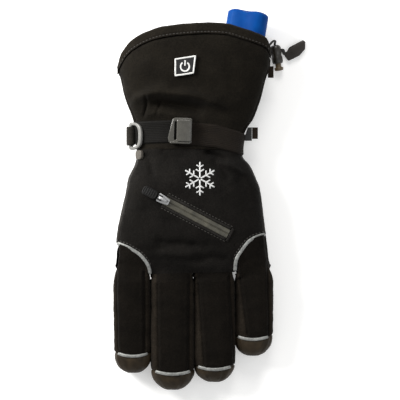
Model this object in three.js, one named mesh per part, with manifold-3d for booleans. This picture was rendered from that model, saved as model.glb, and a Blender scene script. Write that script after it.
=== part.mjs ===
// Heated ski glove for the left hand. It lies palm down with its thumb folded under the palm and its
// two-cell battery pack half pushed into the gauntlet. Millimetres, +Z up. The fingers point to -Y and
// the little finger is on the +X side. It lies on z = 0, and the origin is there, under the gauntlet.
import * as THREE from 'three';
import { mergeVertices } from 'three/addons/utils/BufferGeometryUtils.js';
import Module from 'manifold-3d';

const wasm = await Module();
wasm.setup();

// Glove body
const wristY = -41.5;         // middle of the wrist strap, from the origin
const cuffLength = 93;        // middle of the strap to the top of the rim
const handLength = 124;       // middle of the strap to the finger crotches
const palmHalf = 67.5;        // half the width across the palm
const bodyDepth = 50;         // height of the gauntlet as it lies
const cuffWall = 3.5;
const handWall = 5;
const restWall = 2.6;         // thinnest wall where the glove rests on the ground
const bodySides = 28;         // facets round the body
const liningSides = 16;       // facets round its hollow
const squareness = 2.7;       // 2 is an ellipse, more is squarer
const archShift = 1.6;        // the lining over the palm's arch lies this many walls further right

// Seams and gaps
const gap = 0.3;              // between pieces that touch on the real glove
const seamRise = 6;           // side seams run this far above the widest line
const wristSeamDrop = 14;     // gauntlet's seam to the hand, below the middle of the strap
const hemHeight = 8.5;
const hemSwell = 0.7;         // the folded hem is this much thicker
const rimDrop = 35;           // how far the rim falls back at its left end

// Fingers
const fingerWall = 4.5;
const fingerSides = 16;
const hollowSides = 8;
const slit = 1.4;             // between neighbouring fingers
const capSag = 3.4;           // the cap seam bows this far towards the tip

// Thumb
const thumbWidth = 33;
const thumbDepth = 23;
const thumbWall = 4.4;
const thumbCap = 17;

// Piping
const pipingWidth = 3;
const tipPipingWidth = 2.6;
const pipingThick = 0.7;

// Power button on the gauntlet
const buttonWidth = 17;
const buttonHeight = 15.4;
const buttonThick = 2;
const buttonFrame = 1.5;      // stroke of its white frame
const buttonTurn = 8;         // degrees
const printThick = 0.5;

// Wrist strap and buckle
const webbing = 1.7;
const strapWidth = 20;
const buckleWidth = 20.4;
const buckleLength = 22.4;
const buckleThick = 5;
const buckleSlot = 2.2;
const ringWire = 2.8;
const ringLength = 24;
const ringReach = 15;
const ringTilt = 42;          // degrees
const loopWidth = 16.5;
const loopThick = 1.3;
const barWidth = 3.5;         // black bar at the strap's right end, and the folded tab in it
const barLength = 11.7;
const tabThick = 2.4;
const tabWidth = 10;
const tabLength = 5;

// Pocket zip on the back of the hand
const zipLength = 62;
const zipWidth = 7.6;
const zipThick = 0.9;
const zipTurn = -27.8;        // degrees
const sliderLength = 11;
const sliderWidth = 8;
const sliderThick = 2.4;
const bridgeHeight = 3.3;
const bridgeWidth = 2.2;
const pullLength = 18;
const pullWidth = 8;
const pullThick = 2;
const pullBar = 1.2;
const pullTilt = 5;           // degrees
const ribPitch = 2;
const ribRise = 0.4;

// Drawcord hardware beside the rim
const lockLength = 16.5;
const lockWidth = 9.6;
const lockHeight = 8.6;
const lockTurn = 9.5;         // degrees
const plungerReach = 6;
const plungerTravel = 3;
const cord = 3;
const tetherCord = 2;
const clipThick = 4;
const clipLength = 22;
const clipWidth = 11.2;
const clipTurn = 33;          // degrees

// Battery pack
const cell = 18.3;            // wrapped cell's diameter
const packLength = 70;
const packOut = 14.5;         // how far it stands out of the rim's highest point
const packTurn = -9;          // degrees
const packRoll = 16;          // degrees
const packRoom = 4.2;
const packX = palmHalf - cuffWall - cell - packRoom;
const packZ = 0.38 * bodyDepth;
const packDip = 1.7;          // the wrap's ends fall this far between and beside the cells

// Small helpers
const mix = THREE.MathUtils.lerp;
const radians = THREE.MathUtils.degToRad;
const smooth = THREE.MathUtils.smoothstep;
const bulge = (value) => Math.sign(value) * Math.abs(value) ** (2 / squareness);

// A closed three.js geometry as a solid
function solid(geometry) {
  const bare = geometry.index ? geometry.clone() : geometry;
  bare.deleteAttribute('normal');
  bare.deleteAttribute('uv');
  const merged = mergeVertices(bare, 1e-4);
  return new wasm.Manifold(new wasm.Mesh({
    numProp: 3,
    vertProperties: Float32Array.from(merged.attributes.position.array),
    triVerts: Uint32Array.from(merged.index.array),
  }));
}

// Rings of points, each a section, skinned into one closed solid with a fan at either end. The fan's
// middle is that of the ring's first half, its upper one, from where the arched underside is in sight.
function loft(rings) {
  const sides = rings[0].length;
  const points = rings.flat();
  const first = points.length;
  const middle = (ring) => ring.slice(0, sides / 2 + 1)
    .reduce((sum, p) => sum.add(p), new THREE.Vector3()).divideScalar(sides / 2 + 1);
  points.push(middle(rings[0]), middle(rings.at(-1)));
  const faces = [];
  const end = (rings.length - 1) * sides;
  for (let k = 0; k < sides; k++) {
    const next = (k + 1) % sides;
    faces.push(first, next, k, first + 1, end + k, end + next);
    for (let row = 0; row < end; row += sides) {
      faces.push(row + k, row + next, row + sides + next);
      faces.push(row + k, row + sides + next, row + sides + k);
    }
  }
  const geometry = new THREE.BufferGeometry().setFromPoints(points);
  geometry.setIndex(faces);
  return solid(geometry);
}

// An outline in plan, extruded upwards
function prism(outline, low = -20, high = 160) {
  const depth = high - low;
  const geometry = new THREE.ExtrudeGeometry(new THREE.Shape(outline), { depth, bevelEnabled: false });
  return solid(geometry.translate(0, 0, low));
}

// A round rod along a curve
function rod(curve, diameter, steps, sides = 8) {
  const round = new THREE.Shape().absarc(0, 0, diameter / 2, 0, 2 * Math.PI);
  const section = new THREE.Shape(round.getPoints(sides / 2).slice(0, -1));
  return solid(new THREE.ExtrudeGeometry(section, { steps, extrudePath: curve, bevelEnabled: false }));
}

// Smooth value of one column of a table of sections at a place along it
function column(table, name, along) {
  const rows = table.map((row) => row.along);
  const falling = rows[0] > rows.at(-1);
  let k = rows.findIndex((value) => (falling ? value <= along : value >= along));
  k = THREE.MathUtils.clamp(k < 0 ? rows.length - 1 : k, 1, rows.length - 1);
  const slope = (j) => {
    const a = table[Math.max(j - 1, 0)];
    const b = table[Math.min(j + 1, rows.length - 1)];
    return (b[name] - a[name]) / (b.along - a.along);
  };
  const span = rows[k] - rows[k - 1];
  const t = THREE.MathUtils.clamp((along - rows[k - 1]) / span, 0, 1);
  const start = table[k - 1][name];
  const stop = table[k][name];
  return (2 * t ** 3 - 3 * t ** 2 + 1) * start + (t ** 3 - 2 * t ** 2 + t) * span * slope(k - 1)
    + (3 * t ** 2 - 2 * t ** 3) * stop + (t ** 3 - t ** 2) * span * slope(k);
}

// Body sections. along: 1 is the rim, 0 the strap, -1 the crotches. left and right are shares of
// palmHalf. The rest are shares of bodyDepth: the side seams, the top and the underside, left and right.
const bodySections = [
  ['along', 'left', 'right', 'seamLeft', 'seamRight', 'overLeft', 'overRight', 'underLeft', 'underRight'],
  [1.10, 0.99, 0.97, 0.44, 0.44, 0.98, 0.97, -0.02, -0.02],
  [0.65, 1.00, 0.97, 0.44, 0.44, 0.96, 0.92, -0.02, -0.02],
  [0.48, 0.95, 0.90, 0.44, 0.43, 0.92, 0.88, -0.02, -0.02],
  [0.31, 0.89, 0.84, 0.43, 0.42, 0.86, 0.82, -0.01, -0.01],
  [0.14, 0.80, 0.75, 0.42, 0.40, 0.78, 0.76, 0.04, 0.04],
  [0.04, 0.77, 0.66, 0.42, 0.40, 0.74, 0.72, 0.10, 0.10],
  [-0.06, 0.76, 0.61, 0.42, 0.40, 0.74, 0.72, 0.12, 0.10],
  [-0.16, 0.75, 0.61, 0.45, 0.39, 0.78, 0.74, 0.16, 0.08],
  [-0.23, 0.78, 0.71, 0.51, 0.38, 0.85, 0.76, 0.28, 0.03],
  [-0.31, 0.85, 0.78, 0.59, 0.37, 0.94, 0.78, 0.41, -0.08],
  [-0.40, 0.88, 0.84, 0.66, 0.36, 1.00, 0.79, 0.49, -0.11],
  [-0.65, 0.98, 0.90, 0.69, 0.36, 1.03, 0.80, 0.50, -0.11],
  [-0.78, 1.01, 0.93, 0.65, 0.36, 0.98, 0.78, 0.48, -0.06],
  [-0.90, 1.02, 0.95, 0.57, 0.35, 0.88, 0.74, 0.46, 0.02],
  [-1.00, 0.99, 0.93, 0.50, 0.36, 0.72, 0.62, 0.38, 0.16],
  [-1.04, 0.94, 0.87, 0.49, 0.38, 0.62, 0.52, 0.41, 0.25],
];

// Folds and dents of the back. across and along are its middle, turn its direction in degrees, long and
// wide its half sizes as shares of palmHalf, and lift a share of foldHeight.
const foldHeight = 3.4;
const folds = [
  ['across', 'along', 'turn', 'long', 'wide', 'lift'],
  [-0.58, 0.35, 26, 0.22, 0.07, 0.8],
  [-0.06, 0.345, -9, 0.42, 0.07, 1.0],
  [-0.14, 0.235, -6, 0.28, 0.10, -1.0],
  [0.28, -0.15, -22, 0.18, 0.06, -0.6],
  [0.46, -0.22, -28, 0.18, 0.06, 0.6],
  [-0.30, -0.80, 4, 0.50, 0.05, -0.35],
  [0.15, -0.90, -5, 0.50, 0.05, -0.35],
];

// Stretches of the body and how many rings each takes
const ringStretches = [
  ['from', 'to', 'rings'],
  [1.10, 0.48, 3],
  [0.41, 0.18, 5],
  [0.08, -0.07, 2],
  [-0.14, -0.30, 3],
  [-0.42, -0.66, 2],
  [-0.77, -0.93, 3],
  [-1.00, -1.04, 2],
];

// A table whose first row names its columns, as objects
function rowsOf(table) {
  const [names, ...rows] = table;
  return rows.map((row) => Object.fromEntries(names.map((name, k) => [name, row[k]])));
}

const bodyTable = rowsOf(bodySections);
const foldTable = rowsOf(folds);
const bodyRings = rowsOf(ringStretches).flatMap(({ from, to, rings }) =>
  Array.from({ length: rings }, (_, k) => mix(from, to, k / (rings - 1))));

const bodyY = (along) => wristY + along * (along > 0 ? cuffLength : handLength);
const bodyAlong = (y) => (y - wristY) / (y > wristY ? cuffLength : handLength);

function foldLift(x, y) {
  return foldTable.reduce((sum, fold) => {
    const turned = new THREE.Vector2(x - fold.across * palmHalf, y - bodyY(fold.along))
      .rotateAround(new THREE.Vector2(), radians(-fold.turn));
    const far = (turned.x / fold.long) ** 2 + (turned.y / fold.wide) ** 2;
    return sum + fold.lift * foldHeight * Math.exp(-far / palmHalf ** 2);
  }, 0);
}

// Heights of the body at a share u from its left side, -1, to its right side, 1
function bodySection(along) {
  const at = (name) => column(bodyTable, name, along);
  const left = -at('left') * palmHalf;
  const right = at('right') * palmHalf;
  const level = (name, u) => bodyDepth
    * mix(at(`${name}Left`), at(`${name}Right`), name === 'under' ? smooth(u, 0.1, 0.75) : (u + 1) / 2);
  return { middle: (left + right) / 2, half: (right - left) / 2, level, y: bodyY(along) };
}

function bodyRing(along, grow, sides) {
  const { middle, half, level, y } = bodySection(along);
  return Array.from({ length: sides }, (_, k) => {
    const angle = 2 * Math.PI * k / sides;
    const u = bulge(Math.cos(angle));
    const rise = bulge(Math.sin(angle));
    const x = middle + (half + grow) * u;
    const seam = level('seam', u);
    const over = level('over', u) - seam + grow;
    const under = seam - level('under', u + archShift * grow / half) + grow;
    const lift = rise > 0 ? rise * over + foldLift(x, y) * smooth(rise, 0, 0.6) : rise * under;
    return new THREE.Vector3(x, y, seam + lift);
  });
}

// The back's height above the ground, as the sections give it
function topHeight(x, y) {
  const { middle, half, level } = bodySection(bodyAlong(y));
  const u = THREE.MathUtils.clamp((x - middle) / half, -1, 1);
  const rise = (1 - Math.abs(u) ** squareness) ** (1 / squareness);
  const seam = level('seam', u);
  return seam + rise * (level('over', u) - seam) + foldLift(x, y) * smooth(rise, 0, 0.6);
}

const bodyLoft = (grow) => loft(bodyRings.map((along) => bodyRing(along, grow, bodySides)));

// The hollow: its lining is a wall's thickness inside, stops short of the crotches and leaves the rim open
function bodyHollow() {
  const stop = -1 + 1.6 * handWall / handLength;
  const spare = (along, k) => along < -0.35 && k % 2 === 1;
  const kept = bodyRings.filter((along, k) => along > stop && !spare(along, k)).concat(stop);
  return loft(kept.map((along) => {
    const wall = mix(handWall, cuffWall, smooth(along, -0.1, 0.1));
    return bodyRing(along, -wall, liningSides);
  }));
}

// Fingers. width and depth across the root, reach from the crotches to the tip, rootHeight and tipHeight
// its middle above the ground, lean how far the tip moves to +X, and cap the fingertip cap's length.
const fingers = [
  { name: 'index', width: 30.6, depth: 27, reach: 85.5, rootHeight: 25.5, tipHeight: 12, lean: 0.5, cap: 17.4 },
  { name: 'middle', width: 36, depth: 29, reach: 100.2, rootHeight: 25, tipHeight: 12.9, lean: 0.5, cap: 16.6 },
  { name: 'ring', width: 33.6, depth: 28, reach: 93.4, rootHeight: 22, tipHeight: 12.4, lean: 0.5, cap: 13.8 },
  { name: 'little', width: 31.2, depth: 26, reach: 70.6, rootHeight: 18.8, tipHeight: 11.6, lean: -1, cap: 17 },
];
const slits = [slit, slit, 2 * slit];
const crotchY = wristY - handLength;
let edge = -1.035 * palmHalf;
fingers.forEach((finger, k) => {
  finger.x = edge + finger.width / 2;
  edge += finger.width + (slits[k] ?? 0);
});

// Shape along a finger: wide is a share of its width, and tall and raised of its depth
const fingerForm = rowsOf([
  ['along', 'wide', 'tall', 'raised'],
  [-0.14, 0.88, 0.50, 0.10],
  [0.05, 0.98, 0.92, 0.04],
  [0.40, 1.00, 1.00, 0.00],
  [0.80, 1.00, 0.96, 0.00],
]);
const tipRings = 3;

function fingerAxis(finger, along) {
  const drop = Math.max(1 - along, 0) ** 1.5;
  return new THREE.Vector3(
    finger.x + finger.lean * Math.max(along, 0) ** 2,
    crotchY - along * finger.reach,
    finger.tipHeight + (finger.rootHeight - finger.tipHeight) * drop,
  );
}

// A ring round an axis point: side is the direction of its width
function ovalRing(centre, side, half, height, sides) {
  return Array.from({ length: sides }, (_, k) => {
    const angle = 2 * Math.PI * k / sides;
    return centre.clone()
      .addScaledVector(side, half * bulge(Math.cos(angle)))
      .add(new THREE.Vector3(0, 0, height * bulge(Math.sin(angle))));
  });
}

function fingerLoft(finger, grow, sides) {
  const side = new THREE.Vector3(1, 0, 0);
  const round = finger.width * 0.5;
  const straight = (finger.reach - round) / finger.reach;
  const rows = fingerForm.filter((row) => row.along < straight - 0.03);
  const rings = rows.map(({ along, wide, tall, raised }) => {
    const centre = fingerAxis(finger, along).add(new THREE.Vector3(0, 0, raised * finger.depth));
    return ovalRing(centre, side, wide * finger.width / 2 + grow, tall * finger.depth / 2 + grow, sides);
  });
  const last = fingerForm.at(-1);
  for (let k = 0; k <= tipRings; k++) {
    const angle = k / (tipRings + 0.35) * Math.PI / 2;
    const centre = fingerAxis(finger, straight + (1 - straight) * Math.sin(angle));
    centre.y -= grow * Math.sin(angle);
    const half = (last.wide * finger.width / 2 + grow) * Math.cos(angle);
    const height = (last.tall * finger.depth / 2 + grow) * Math.cos(angle) ** 0.8;
    rings.push(ovalRing(centre, side, half, height, sides));
  }
  return loft(rings);
}

// The thumb's axis. across is a share of palmHalf and along as on the body. height is a share of
// thumbDepth, and wide and tall of its width and depth.
const thumbRows = rowsOf([
  ['across', 'along', 'height', 'wide', 'tall'],
  [-0.52, -0.32, 1.45, 0.60, 0.75],
  [-0.58, -0.42, 1.20, 0.90, 0.95],
  [-0.60, -0.56, 0.72, 1.00, 1.00],
  [-0.49, -0.66, 0.50, 1.00, 0.98],
  [-0.30, -0.77, 0.48, 1.00, 0.96],
  [-0.13, -0.82, 0.47, 0.97, 0.94],
]);
const thumbTip = new THREE.Vector3(0.04 * palmHalf, bodyY(-0.87), 0.46 * thumbDepth);
const thumbPoints = thumbRows.map((row) =>
  new THREE.Vector3(row.across * palmHalf, bodyY(row.along), row.height * thumbDepth));
const thumbAxis = new THREE.CatmullRomCurve3([...thumbPoints, thumbTip]);

function thumbLoft(grow, sides) {
  const rings = thumbRows.map((row, k) => {
    const heading = thumbAxis.getTangent(k / thumbRows.length);
    const side = new THREE.Vector3(-heading.y, heading.x, 0).normalize();
    const half = row.wide * thumbWidth / 2 + grow;
    return ovalRing(thumbPoints[k], side, half, row.tall * thumbDepth / 2 + grow, sides);
  });
  const last = thumbRows.at(-1);
  const from = thumbPoints.at(-1);
  const ahead = thumbTip.clone().sub(from).setZ(0);
  const side = new THREE.Vector3(-ahead.y, ahead.x, 0).normalize();
  const reach = ahead.length() + grow;
  ahead.normalize();
  for (let k = 1; k <= tipRings; k++) {
    const angle = k / (tipRings + 0.35) * Math.PI / 2;
    const centre = from.clone().addScaledVector(ahead, reach * Math.sin(angle));
    const half = (last.wide * thumbWidth / 2 + grow) * Math.cos(angle);
    const height = (last.tall * thumbDepth / 2 + grow) * Math.cos(angle) ** 0.8;
    rings.push(ovalRing(centre, side, half, height, sides));
  }
  return loft(rings);
}

// The glove's outer skin grown by a distance, kept for each distance asked for
const skins = new Map();
function skin(grow) {
  const key = grow.toFixed(4);
  if (!skins.has(key)) {
    const parts = fingers.map((finger) => fingerLoft(finger, grow, fingerSides));
    skins.set(key, parts.reduce((sum, part) => sum.add(part), bodyLoft(grow)));
  }
  return skins.get(key);
}

const far = 300;
const corner = (x, y) => new THREE.Vector2(x, y);
const everywhere = [corner(-far, -far), corner(far, -far), corner(far, far), corner(-far, far)];
const groundUpTo = (height) => prism(everywhere, -far, height);
const ground = groundUpTo(0);
const fingerHollow = (finger) => fingerLoft(finger, -fingerWall, hollowSides);
const hollow = fingers.reduce((sum, finger) => sum.add(fingerHollow(finger)), bodyHollow())
  .subtract(groundUpTo(restWall));
const shell = skin(0).subtract(hollow).subtract(ground);

// Region above the side seams of the body, moved up by shift
function aboveSeams(shift) {
  const few = bodyRings.filter((along, k) => k % 3 === 0 || k > bodyRings.length - 3);
  return loft(few.map((along) => {
    const { middle, half, level, y } = bodySection(along);
    const run = [-1, 1].map((u) =>
      new THREE.Vector3(middle + u * 1.4 * half, y, level('seam', u) + seamRise + shift));
    return [...run, ...run.toReversed().map((point) => point.clone().setZ(far))];
  }));
}

// The same for one finger
function aboveFingerSeams(finger, shift) {
  return loft([-0.7, 0, 0.5, 1.2].map((along) => {
    const axis = fingerAxis(finger, along);
    const run = [-1, 1].map((u) =>
      new THREE.Vector3(axis.x + u * finger.width, axis.y, axis.z + seamRise / 2 + shift));
    return [...run, ...run.toReversed().map((point) => point.clone().setZ(far))];
  }));
}

// Rim of the gauntlet in plan: across is a share of palmHalf and drop of rimDrop below its highest point
const rimCurve = new THREE.SplineCurve(rowsOf([
  ['across', 'drop'],
  [-1.12, 1.30],
  [-1.00, 0.98],
  [-0.96, 0.76],
  [-0.81, 0.40],
  [-0.49, 0.115],
  [-0.03, 0.00],
  [0.36, 0.00],
  [0.60, 0.11],
  [0.90, 0.30],
  [0.97, 0.50],
  [1.12, 1.05],
]).map(({ across, drop }) => new THREE.Vector2(across * palmHalf, wristY + cuffLength - drop * rimDrop)));
const rimPoints = (shift) => rimCurve.getSpacedPoints(12).map((point) => corner(point.x, point.y + shift));
const wristSeam = wristY - wristSeamDrop;

function between(upper, lower) {
  return prism([...upper, ...lower.toReversed()]);
}

const flat = (y) => [new THREE.Vector2(-1.12 * palmHalf, y), new THREE.Vector2(1.12 * palmHalf, y)];
const hemZone = between(rimPoints(0), rimPoints(-hemHeight));
const cuffZone = between(rimPoints(-hemHeight - gap), flat(wristSeam + gap / 2));

// Seams from the knuckles to the crotches, where the finger backs join the hand: shares of palmHalf across
// and along as on the body
const planCurve = (rows) => new THREE.SplineCurve(rowsOf([['across', 'along'], ...rows])
  .map(({ across, along }) => new THREE.Vector2(across * palmHalf, bodyY(along))));
const slitX = (k) => fingers[k].x + (fingers[k].width + slits[k]) / 2;
const indexSeam = planCurve([[-1.12, -0.75], [-0.955, -0.774], [-0.835, -0.80], [-0.695, -0.85],
  [-0.60, -0.918]]);
indexSeam.points.push(new THREE.Vector2(slitX(0), crotchY + 2));
const littleSeam = planCurve([[1.12, -0.70], [0.87, -0.712], [0.70, -0.75], [0.585, -0.825], [0.525, -0.885]]);
littleSeam.points.push(new THREE.Vector2(slitX(2), crotchY + 4));
const indexLine = indexSeam.getSpacedPoints(9);
const littleLine = littleSeam.getSpacedPoints(9).toReversed();
const shifted = (points, x, y) => points.map((point) => new THREE.Vector2(point.x + x, point.y + y));
const beyond = crotchY - 160;
const handZone = prism([...flat(wristSeam - gap / 2).toReversed(), ...indexLine, ...littleLine]);
const wide = 1.12 * palmHalf;
const fingerZones = [
  prism([...shifted(indexLine, -gap, -gap * 0.5), corner(slitX(0) - gap, beyond), corner(-wide, beyond)]),
  prism([corner(slitX(0), crotchY + 2 - gap), corner(slitX(0), beyond),
    corner(slitX(1) - gap / 2, beyond), corner(slitX(1) - gap / 2, crotchY + 3 - gap)]),
  prism([corner(slitX(1) + gap / 2, crotchY + 3 - gap), corner(slitX(1) + gap / 2, beyond),
    corner(slitX(2), beyond), corner(slitX(2), crotchY + 4 - gap)]),
  prism([...shifted(littleLine, gap, -gap * 0.5), corner(wide, beyond), corner(slitX(2) + gap, beyond)]),
];

const glove = new THREE.Group();

// Adds one solid as a named mesh, with its colour as 0 to 255 values
function add(name, body, [red, green, blue], roughness, metalness = 0) {
  const mesh = body.getMesh();
  const geometry = new THREE.BufferGeometry();
  geometry.setAttribute('position', new THREE.BufferAttribute(mesh.vertProperties, 3));
  geometry.setIndex(new THREE.BufferAttribute(mesh.triVerts, 1));
  const color = new THREE.Color().setRGB(red / 255, green / 255, blue / 255, THREE.SRGBColorSpace);
  const node = new THREE.Mesh(geometry, new THREE.MeshStandardMaterial({ color, roughness, metalness }));
  node.name = name;
  glove.add(node);
}

const cloth = [28, 26, 24];
const leather = [34, 30, 26];
const capLeather = [48, 40, 30];
const silver = [150, 152, 150];
const plastic = [22, 22, 23];

const backRegion = aboveSeams(gap / 2);
add('gauntlet_hem', skin(hemSwell).subtract(hollow).subtract(ground).intersect(hemZone), [46, 45, 42], 0.9);
add('gauntlet_back', shell.intersect(cuffZone).intersect(backRegion), cloth, 0.95);
add('gauntlet_palm', shell.intersect(cuffZone).subtract(aboveSeams(-gap / 2)), cloth, 0.95);

const thumbHollow = thumbLoft(-thumbWall, hollowSides).subtract(groundUpTo(restWall));
add('hand_back', shell.intersect(handZone).intersect(backRegion), cloth, 0.95);
add('palm', shell.intersect(handZone).subtract(aboveSeams(-gap / 2)).subtract(thumbHollow), leather, 0.6);

// A cut across a finger or the thumb: the region beyond the cap seam. The seam is an arc that bows
// towards the tip, moved back by shift.
function capZone(centre, heading, half, shift) {
  const side = new THREE.Vector2(-heading.y, heading.x);
  const at = (u, along) => centre.clone().addScaledVector(side, u * half).addScaledVector(heading, along);
  const arc = [-1.5, -0.8, 0, 0.8, 1.5].map((u) => at(u, capSag * (0.5 - u * u) + shift));
  return prism([...arc, at(1.5, 60), at(-1.5, 60)]);
}

const down = new THREE.Vector2(0, -1);
const tight = (slit - gap) / 2;
fingers.forEach((finger, k) => {
  const body = shell.intersect(fingerZones[k]);
  const centre = new THREE.Vector2(finger.x + finger.lean, crotchY - finger.reach + finger.cap);
  const half = finger.width / 2;
  const tip = capZone(centre, down, half, gap / 2);
  const rest = body.subtract(capZone(centre, down, half, -gap / 2));
  add(`${finger.name}_back`, rest.intersect(aboveFingerSeams(finger, gap / 2)), cloth, 0.95);
  add(`${finger.name}_palm`, rest.subtract(aboveFingerSeams(finger, -gap / 2)), leather, 0.6);
  add(`${finger.name}_cap`, body.intersect(tip), capLeather, 0.55);
  const piping = capZone(centre, down, half, -tipPipingWidth / 2)
    .subtract(capZone(centre, down, half, tipPipingWidth / 2));
  const band = fingerLoft(finger, gap + pipingThick, fingerSides).subtract(fingerLoft(finger, gap, fingerSides))
    .intersect(piping);
  const inside = prism([corner(finger.x - half - tight, beyond), corner(finger.x + half + tight, beyond),
    corner(finger.x + half + tight, crotchY), corner(finger.x - half - tight, crotchY)]);
  const kept = band.intersect(inside).intersect(aboveFingerSeams(finger, gap / 2));
  add(`${finger.name}_tip_piping`, kept, silver, 0.35, 0.3);
});

const thumbWhole = thumbLoft(0, fingerSides).subtract(thumbHollow).subtract(skin(2 * gap)).subtract(ground);
const thumbHeading = new THREE.Vector2(thumbTip.x - thumbPoints.at(-1).x, thumbTip.y - thumbPoints.at(-1).y)
  .normalize();
const thumbCentre = new THREE.Vector2(thumbTip.x, thumbTip.y).addScaledVector(thumbHeading, -thumbCap);
const thumbCut = (shift) => capZone(thumbCentre, thumbHeading, thumbWidth / 2, shift);
add('thumb', thumbWhole.subtract(thumbCut(-gap / 2)), leather, 0.6);
add('thumb_cap', thumbWhole.intersect(thumbCut(gap / 2)), capLeather, 0.55);

// A trim that lies on the skin: an outline in plan, from base above it to base plus thick
function drape(outline, base, thick, low = 0) {
  return skin(base + thick).subtract(skin(base)).intersect(prism(outline, low));
}

// A strip of a given width along a curve in plan
function strip(curve, width, steps) {
  const edge = (sign) => Array.from({ length: steps + 1 }, (_, k) => {
    const heading = curve.getTangentAt(k / steps);
    return curve.getPointAt(k / steps).add(corner(-heading.y, heading.x).multiplyScalar(sign * width / 2));
  });
  return [...edge(1), ...edge(-1).toReversed()];
}

const seamLine = (points, from, to) => new THREE.SplineCurve(points.slice(from, to));
const indexPiping = drape(strip(seamLine(indexLine, 1, 9), pipingWidth, 8), gap, pipingThick);
const littlePiping = drape(strip(seamLine(littleLine.toReversed(), 1, 9), pipingWidth, 8), gap, pipingThick);
add('index_piping', indexPiping.intersect(backRegion), silver, 0.35, 0.3);
add('little_piping', littlePiping.intersect(backRegion), silver, 0.35, 0.3);

// Where a flat outline lies in plan, turned about its middle by degrees
function placed(points, x, y, turn) {
  return points.map((point) => point.clone().rotateAround(new THREE.Vector2(), radians(turn))
    .add(new THREE.Vector2(x, y)));
}

function rounded(width, length, corner, steps = 2) {
  const points = [];
  const middles = [[1, 1], [-1, 1], [-1, -1], [1, -1]];
  middles.forEach(([right, up], quarter) => {
    for (let k = 0; k <= steps; k++) {
      const angle = (quarter + k / steps) * Math.PI / 2;
      points.push(new THREE.Vector2(right * (width / 2 - corner) + corner * Math.cos(angle),
        up * (length / 2 - corner) + corner * Math.sin(angle)));
    }
  });
  return points;
}

// Power button: a square pad with a frame line printed on it
const buttonX = -0.129 * palmHalf;
const buttonY = bodyY(0.614);
const onButton = (points) => placed(points, buttonX, buttonY, buttonTurn);
const pad = onButton(rounded(buttonWidth, buttonHeight, 1.2));
add('power_button', drape(pad, gap, buttonThick, 20), plastic, 0.5);
const frameLine = (inset, corner) =>
  onButton(rounded(buttonWidth - 2 * (gap + inset), buttonHeight - 2 * (gap + inset), corner));
const frame = drape(frameLine(0, 1), gap + buttonThick + gap / 2, printThick, 20);
add('button_frame', frame.subtract(prism(frameLine(buttonFrame, 0.5))), [214, 214, 210], 0.6);

// Wrist strap: a strip over the back, and its short left end between the buckle and the ring
const strapLine = planCurve([[-0.20, -0.006], [0.26, -0.022], [0.56, -0.07], [0.80, -0.11]]);
add('strap', drape(strip(strapLine, strapWidth + 0.8, 6), gap, webbing, 24), [36, 32, 27], 0.85);
const buckleX = -0.19 * palmHalf;
const buckleY = bodyY(0.022);
const leftY = bodyY(0.008);
const leftLine = new THREE.LineCurve(new THREE.Vector2(-0.655 * palmHalf, leftY),
  new THREE.Vector2(buckleX - 0.09 * buckleWidth, leftY));
add('strap_left', drape(strip(leftLine, strapWidth, 2), gap, webbing, 20), [34, 32, 29], 0.85);

// A level frame laid on the back: its origin stands clear of the back by lift all over a footprint
function seat(x, y, turn, length, width, lift) {
  const heading = new THREE.Vector2(1, 0).rotateAround(new THREE.Vector2(), radians(turn));
  const across = new THREE.Vector2(-heading.y, heading.x);
  const height = (a, b) => topHeight(x + heading.x * a + across.x * b, y + heading.y * a + across.y * b);
  const slopeA = (height(length / 2, 0) - height(-length / 2, 0)) / length;
  const slopeB = (height(0, width / 2) - height(0, -width / 2)) / width;
  const spots = [-0.5, -0.25, 0, 0.25, 0.5].flatMap((a) => [-0.5, 0, 0.5].map((b) => [a * length, b * width]));
  const base = Math.max(...spots.map(([a, b]) => height(a, b) - slopeA * a - slopeB * b));
  const axisX = new THREE.Vector3(heading.x, heading.y, slopeA).normalize();
  const upward = axisX.clone().cross(new THREE.Vector3(across.x, across.y, slopeB)).normalize();
  const axisY = upward.clone().cross(axisX);
  const origin = new THREE.Vector3(x, y, base).addScaledVector(upward, lift);
  return new THREE.Matrix4().makeBasis(axisX, axisY, upward).setPosition(origin);
}

const moved = (body, matrix) => body.transform(matrix.elements);

// An outline in a piece's own plane, extruded from low to high
const plate = (outline, low, high, holes = []) => {
  const shape = new THREE.Shape(outline);
  shape.holes = holes.map((hole) => new THREE.Path(hole));
  const geometry = new THREE.ExtrudeGeometry(shape, { depth: high - low, bevelEnabled: false });
  return solid(geometry.translate(0, 0, low));
};

// Buckle: a moulded plate with one slot. A slanted bar at its left end holds the short webbing.
const buckleSeat = seat(buckleX, buckleY, -2, buckleWidth, buckleLength, 2 * gap + webbing);
const slotHalf = buckleLength * 0.37;
const slotX = -buckleWidth * 0.19;
const slot = shifted(rounded(buckleSlot, 2 * slotHalf, 0.8, 1), slotX, 0);
const outline = (length, width, rows) => rows.map(([u, v]) => new THREE.Vector2(u * length, v * width));
const buckleOutline = outline(buckleWidth, buckleLength, [[0.5, 0.47], [0.42, 0.5], [-0.22, 0.5], [-0.32, 0.44],
  [-0.5, -0.28], [-0.44, -0.5], [0.42, -0.5], [0.5, -0.46]]);
const bucklePad = shifted(rounded(buckleWidth * 0.58, buckleLength * 0.86, 1.5), buckleWidth * 0.17, 0);
const buckleBody = plate(buckleOutline, 0, buckleThick * 0.62, [slot.toReversed()])
  .add(plate(bucklePad, 1, buckleThick));
add('buckle', moved(buckleBody, buckleSeat), plastic, 0.18);

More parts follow.
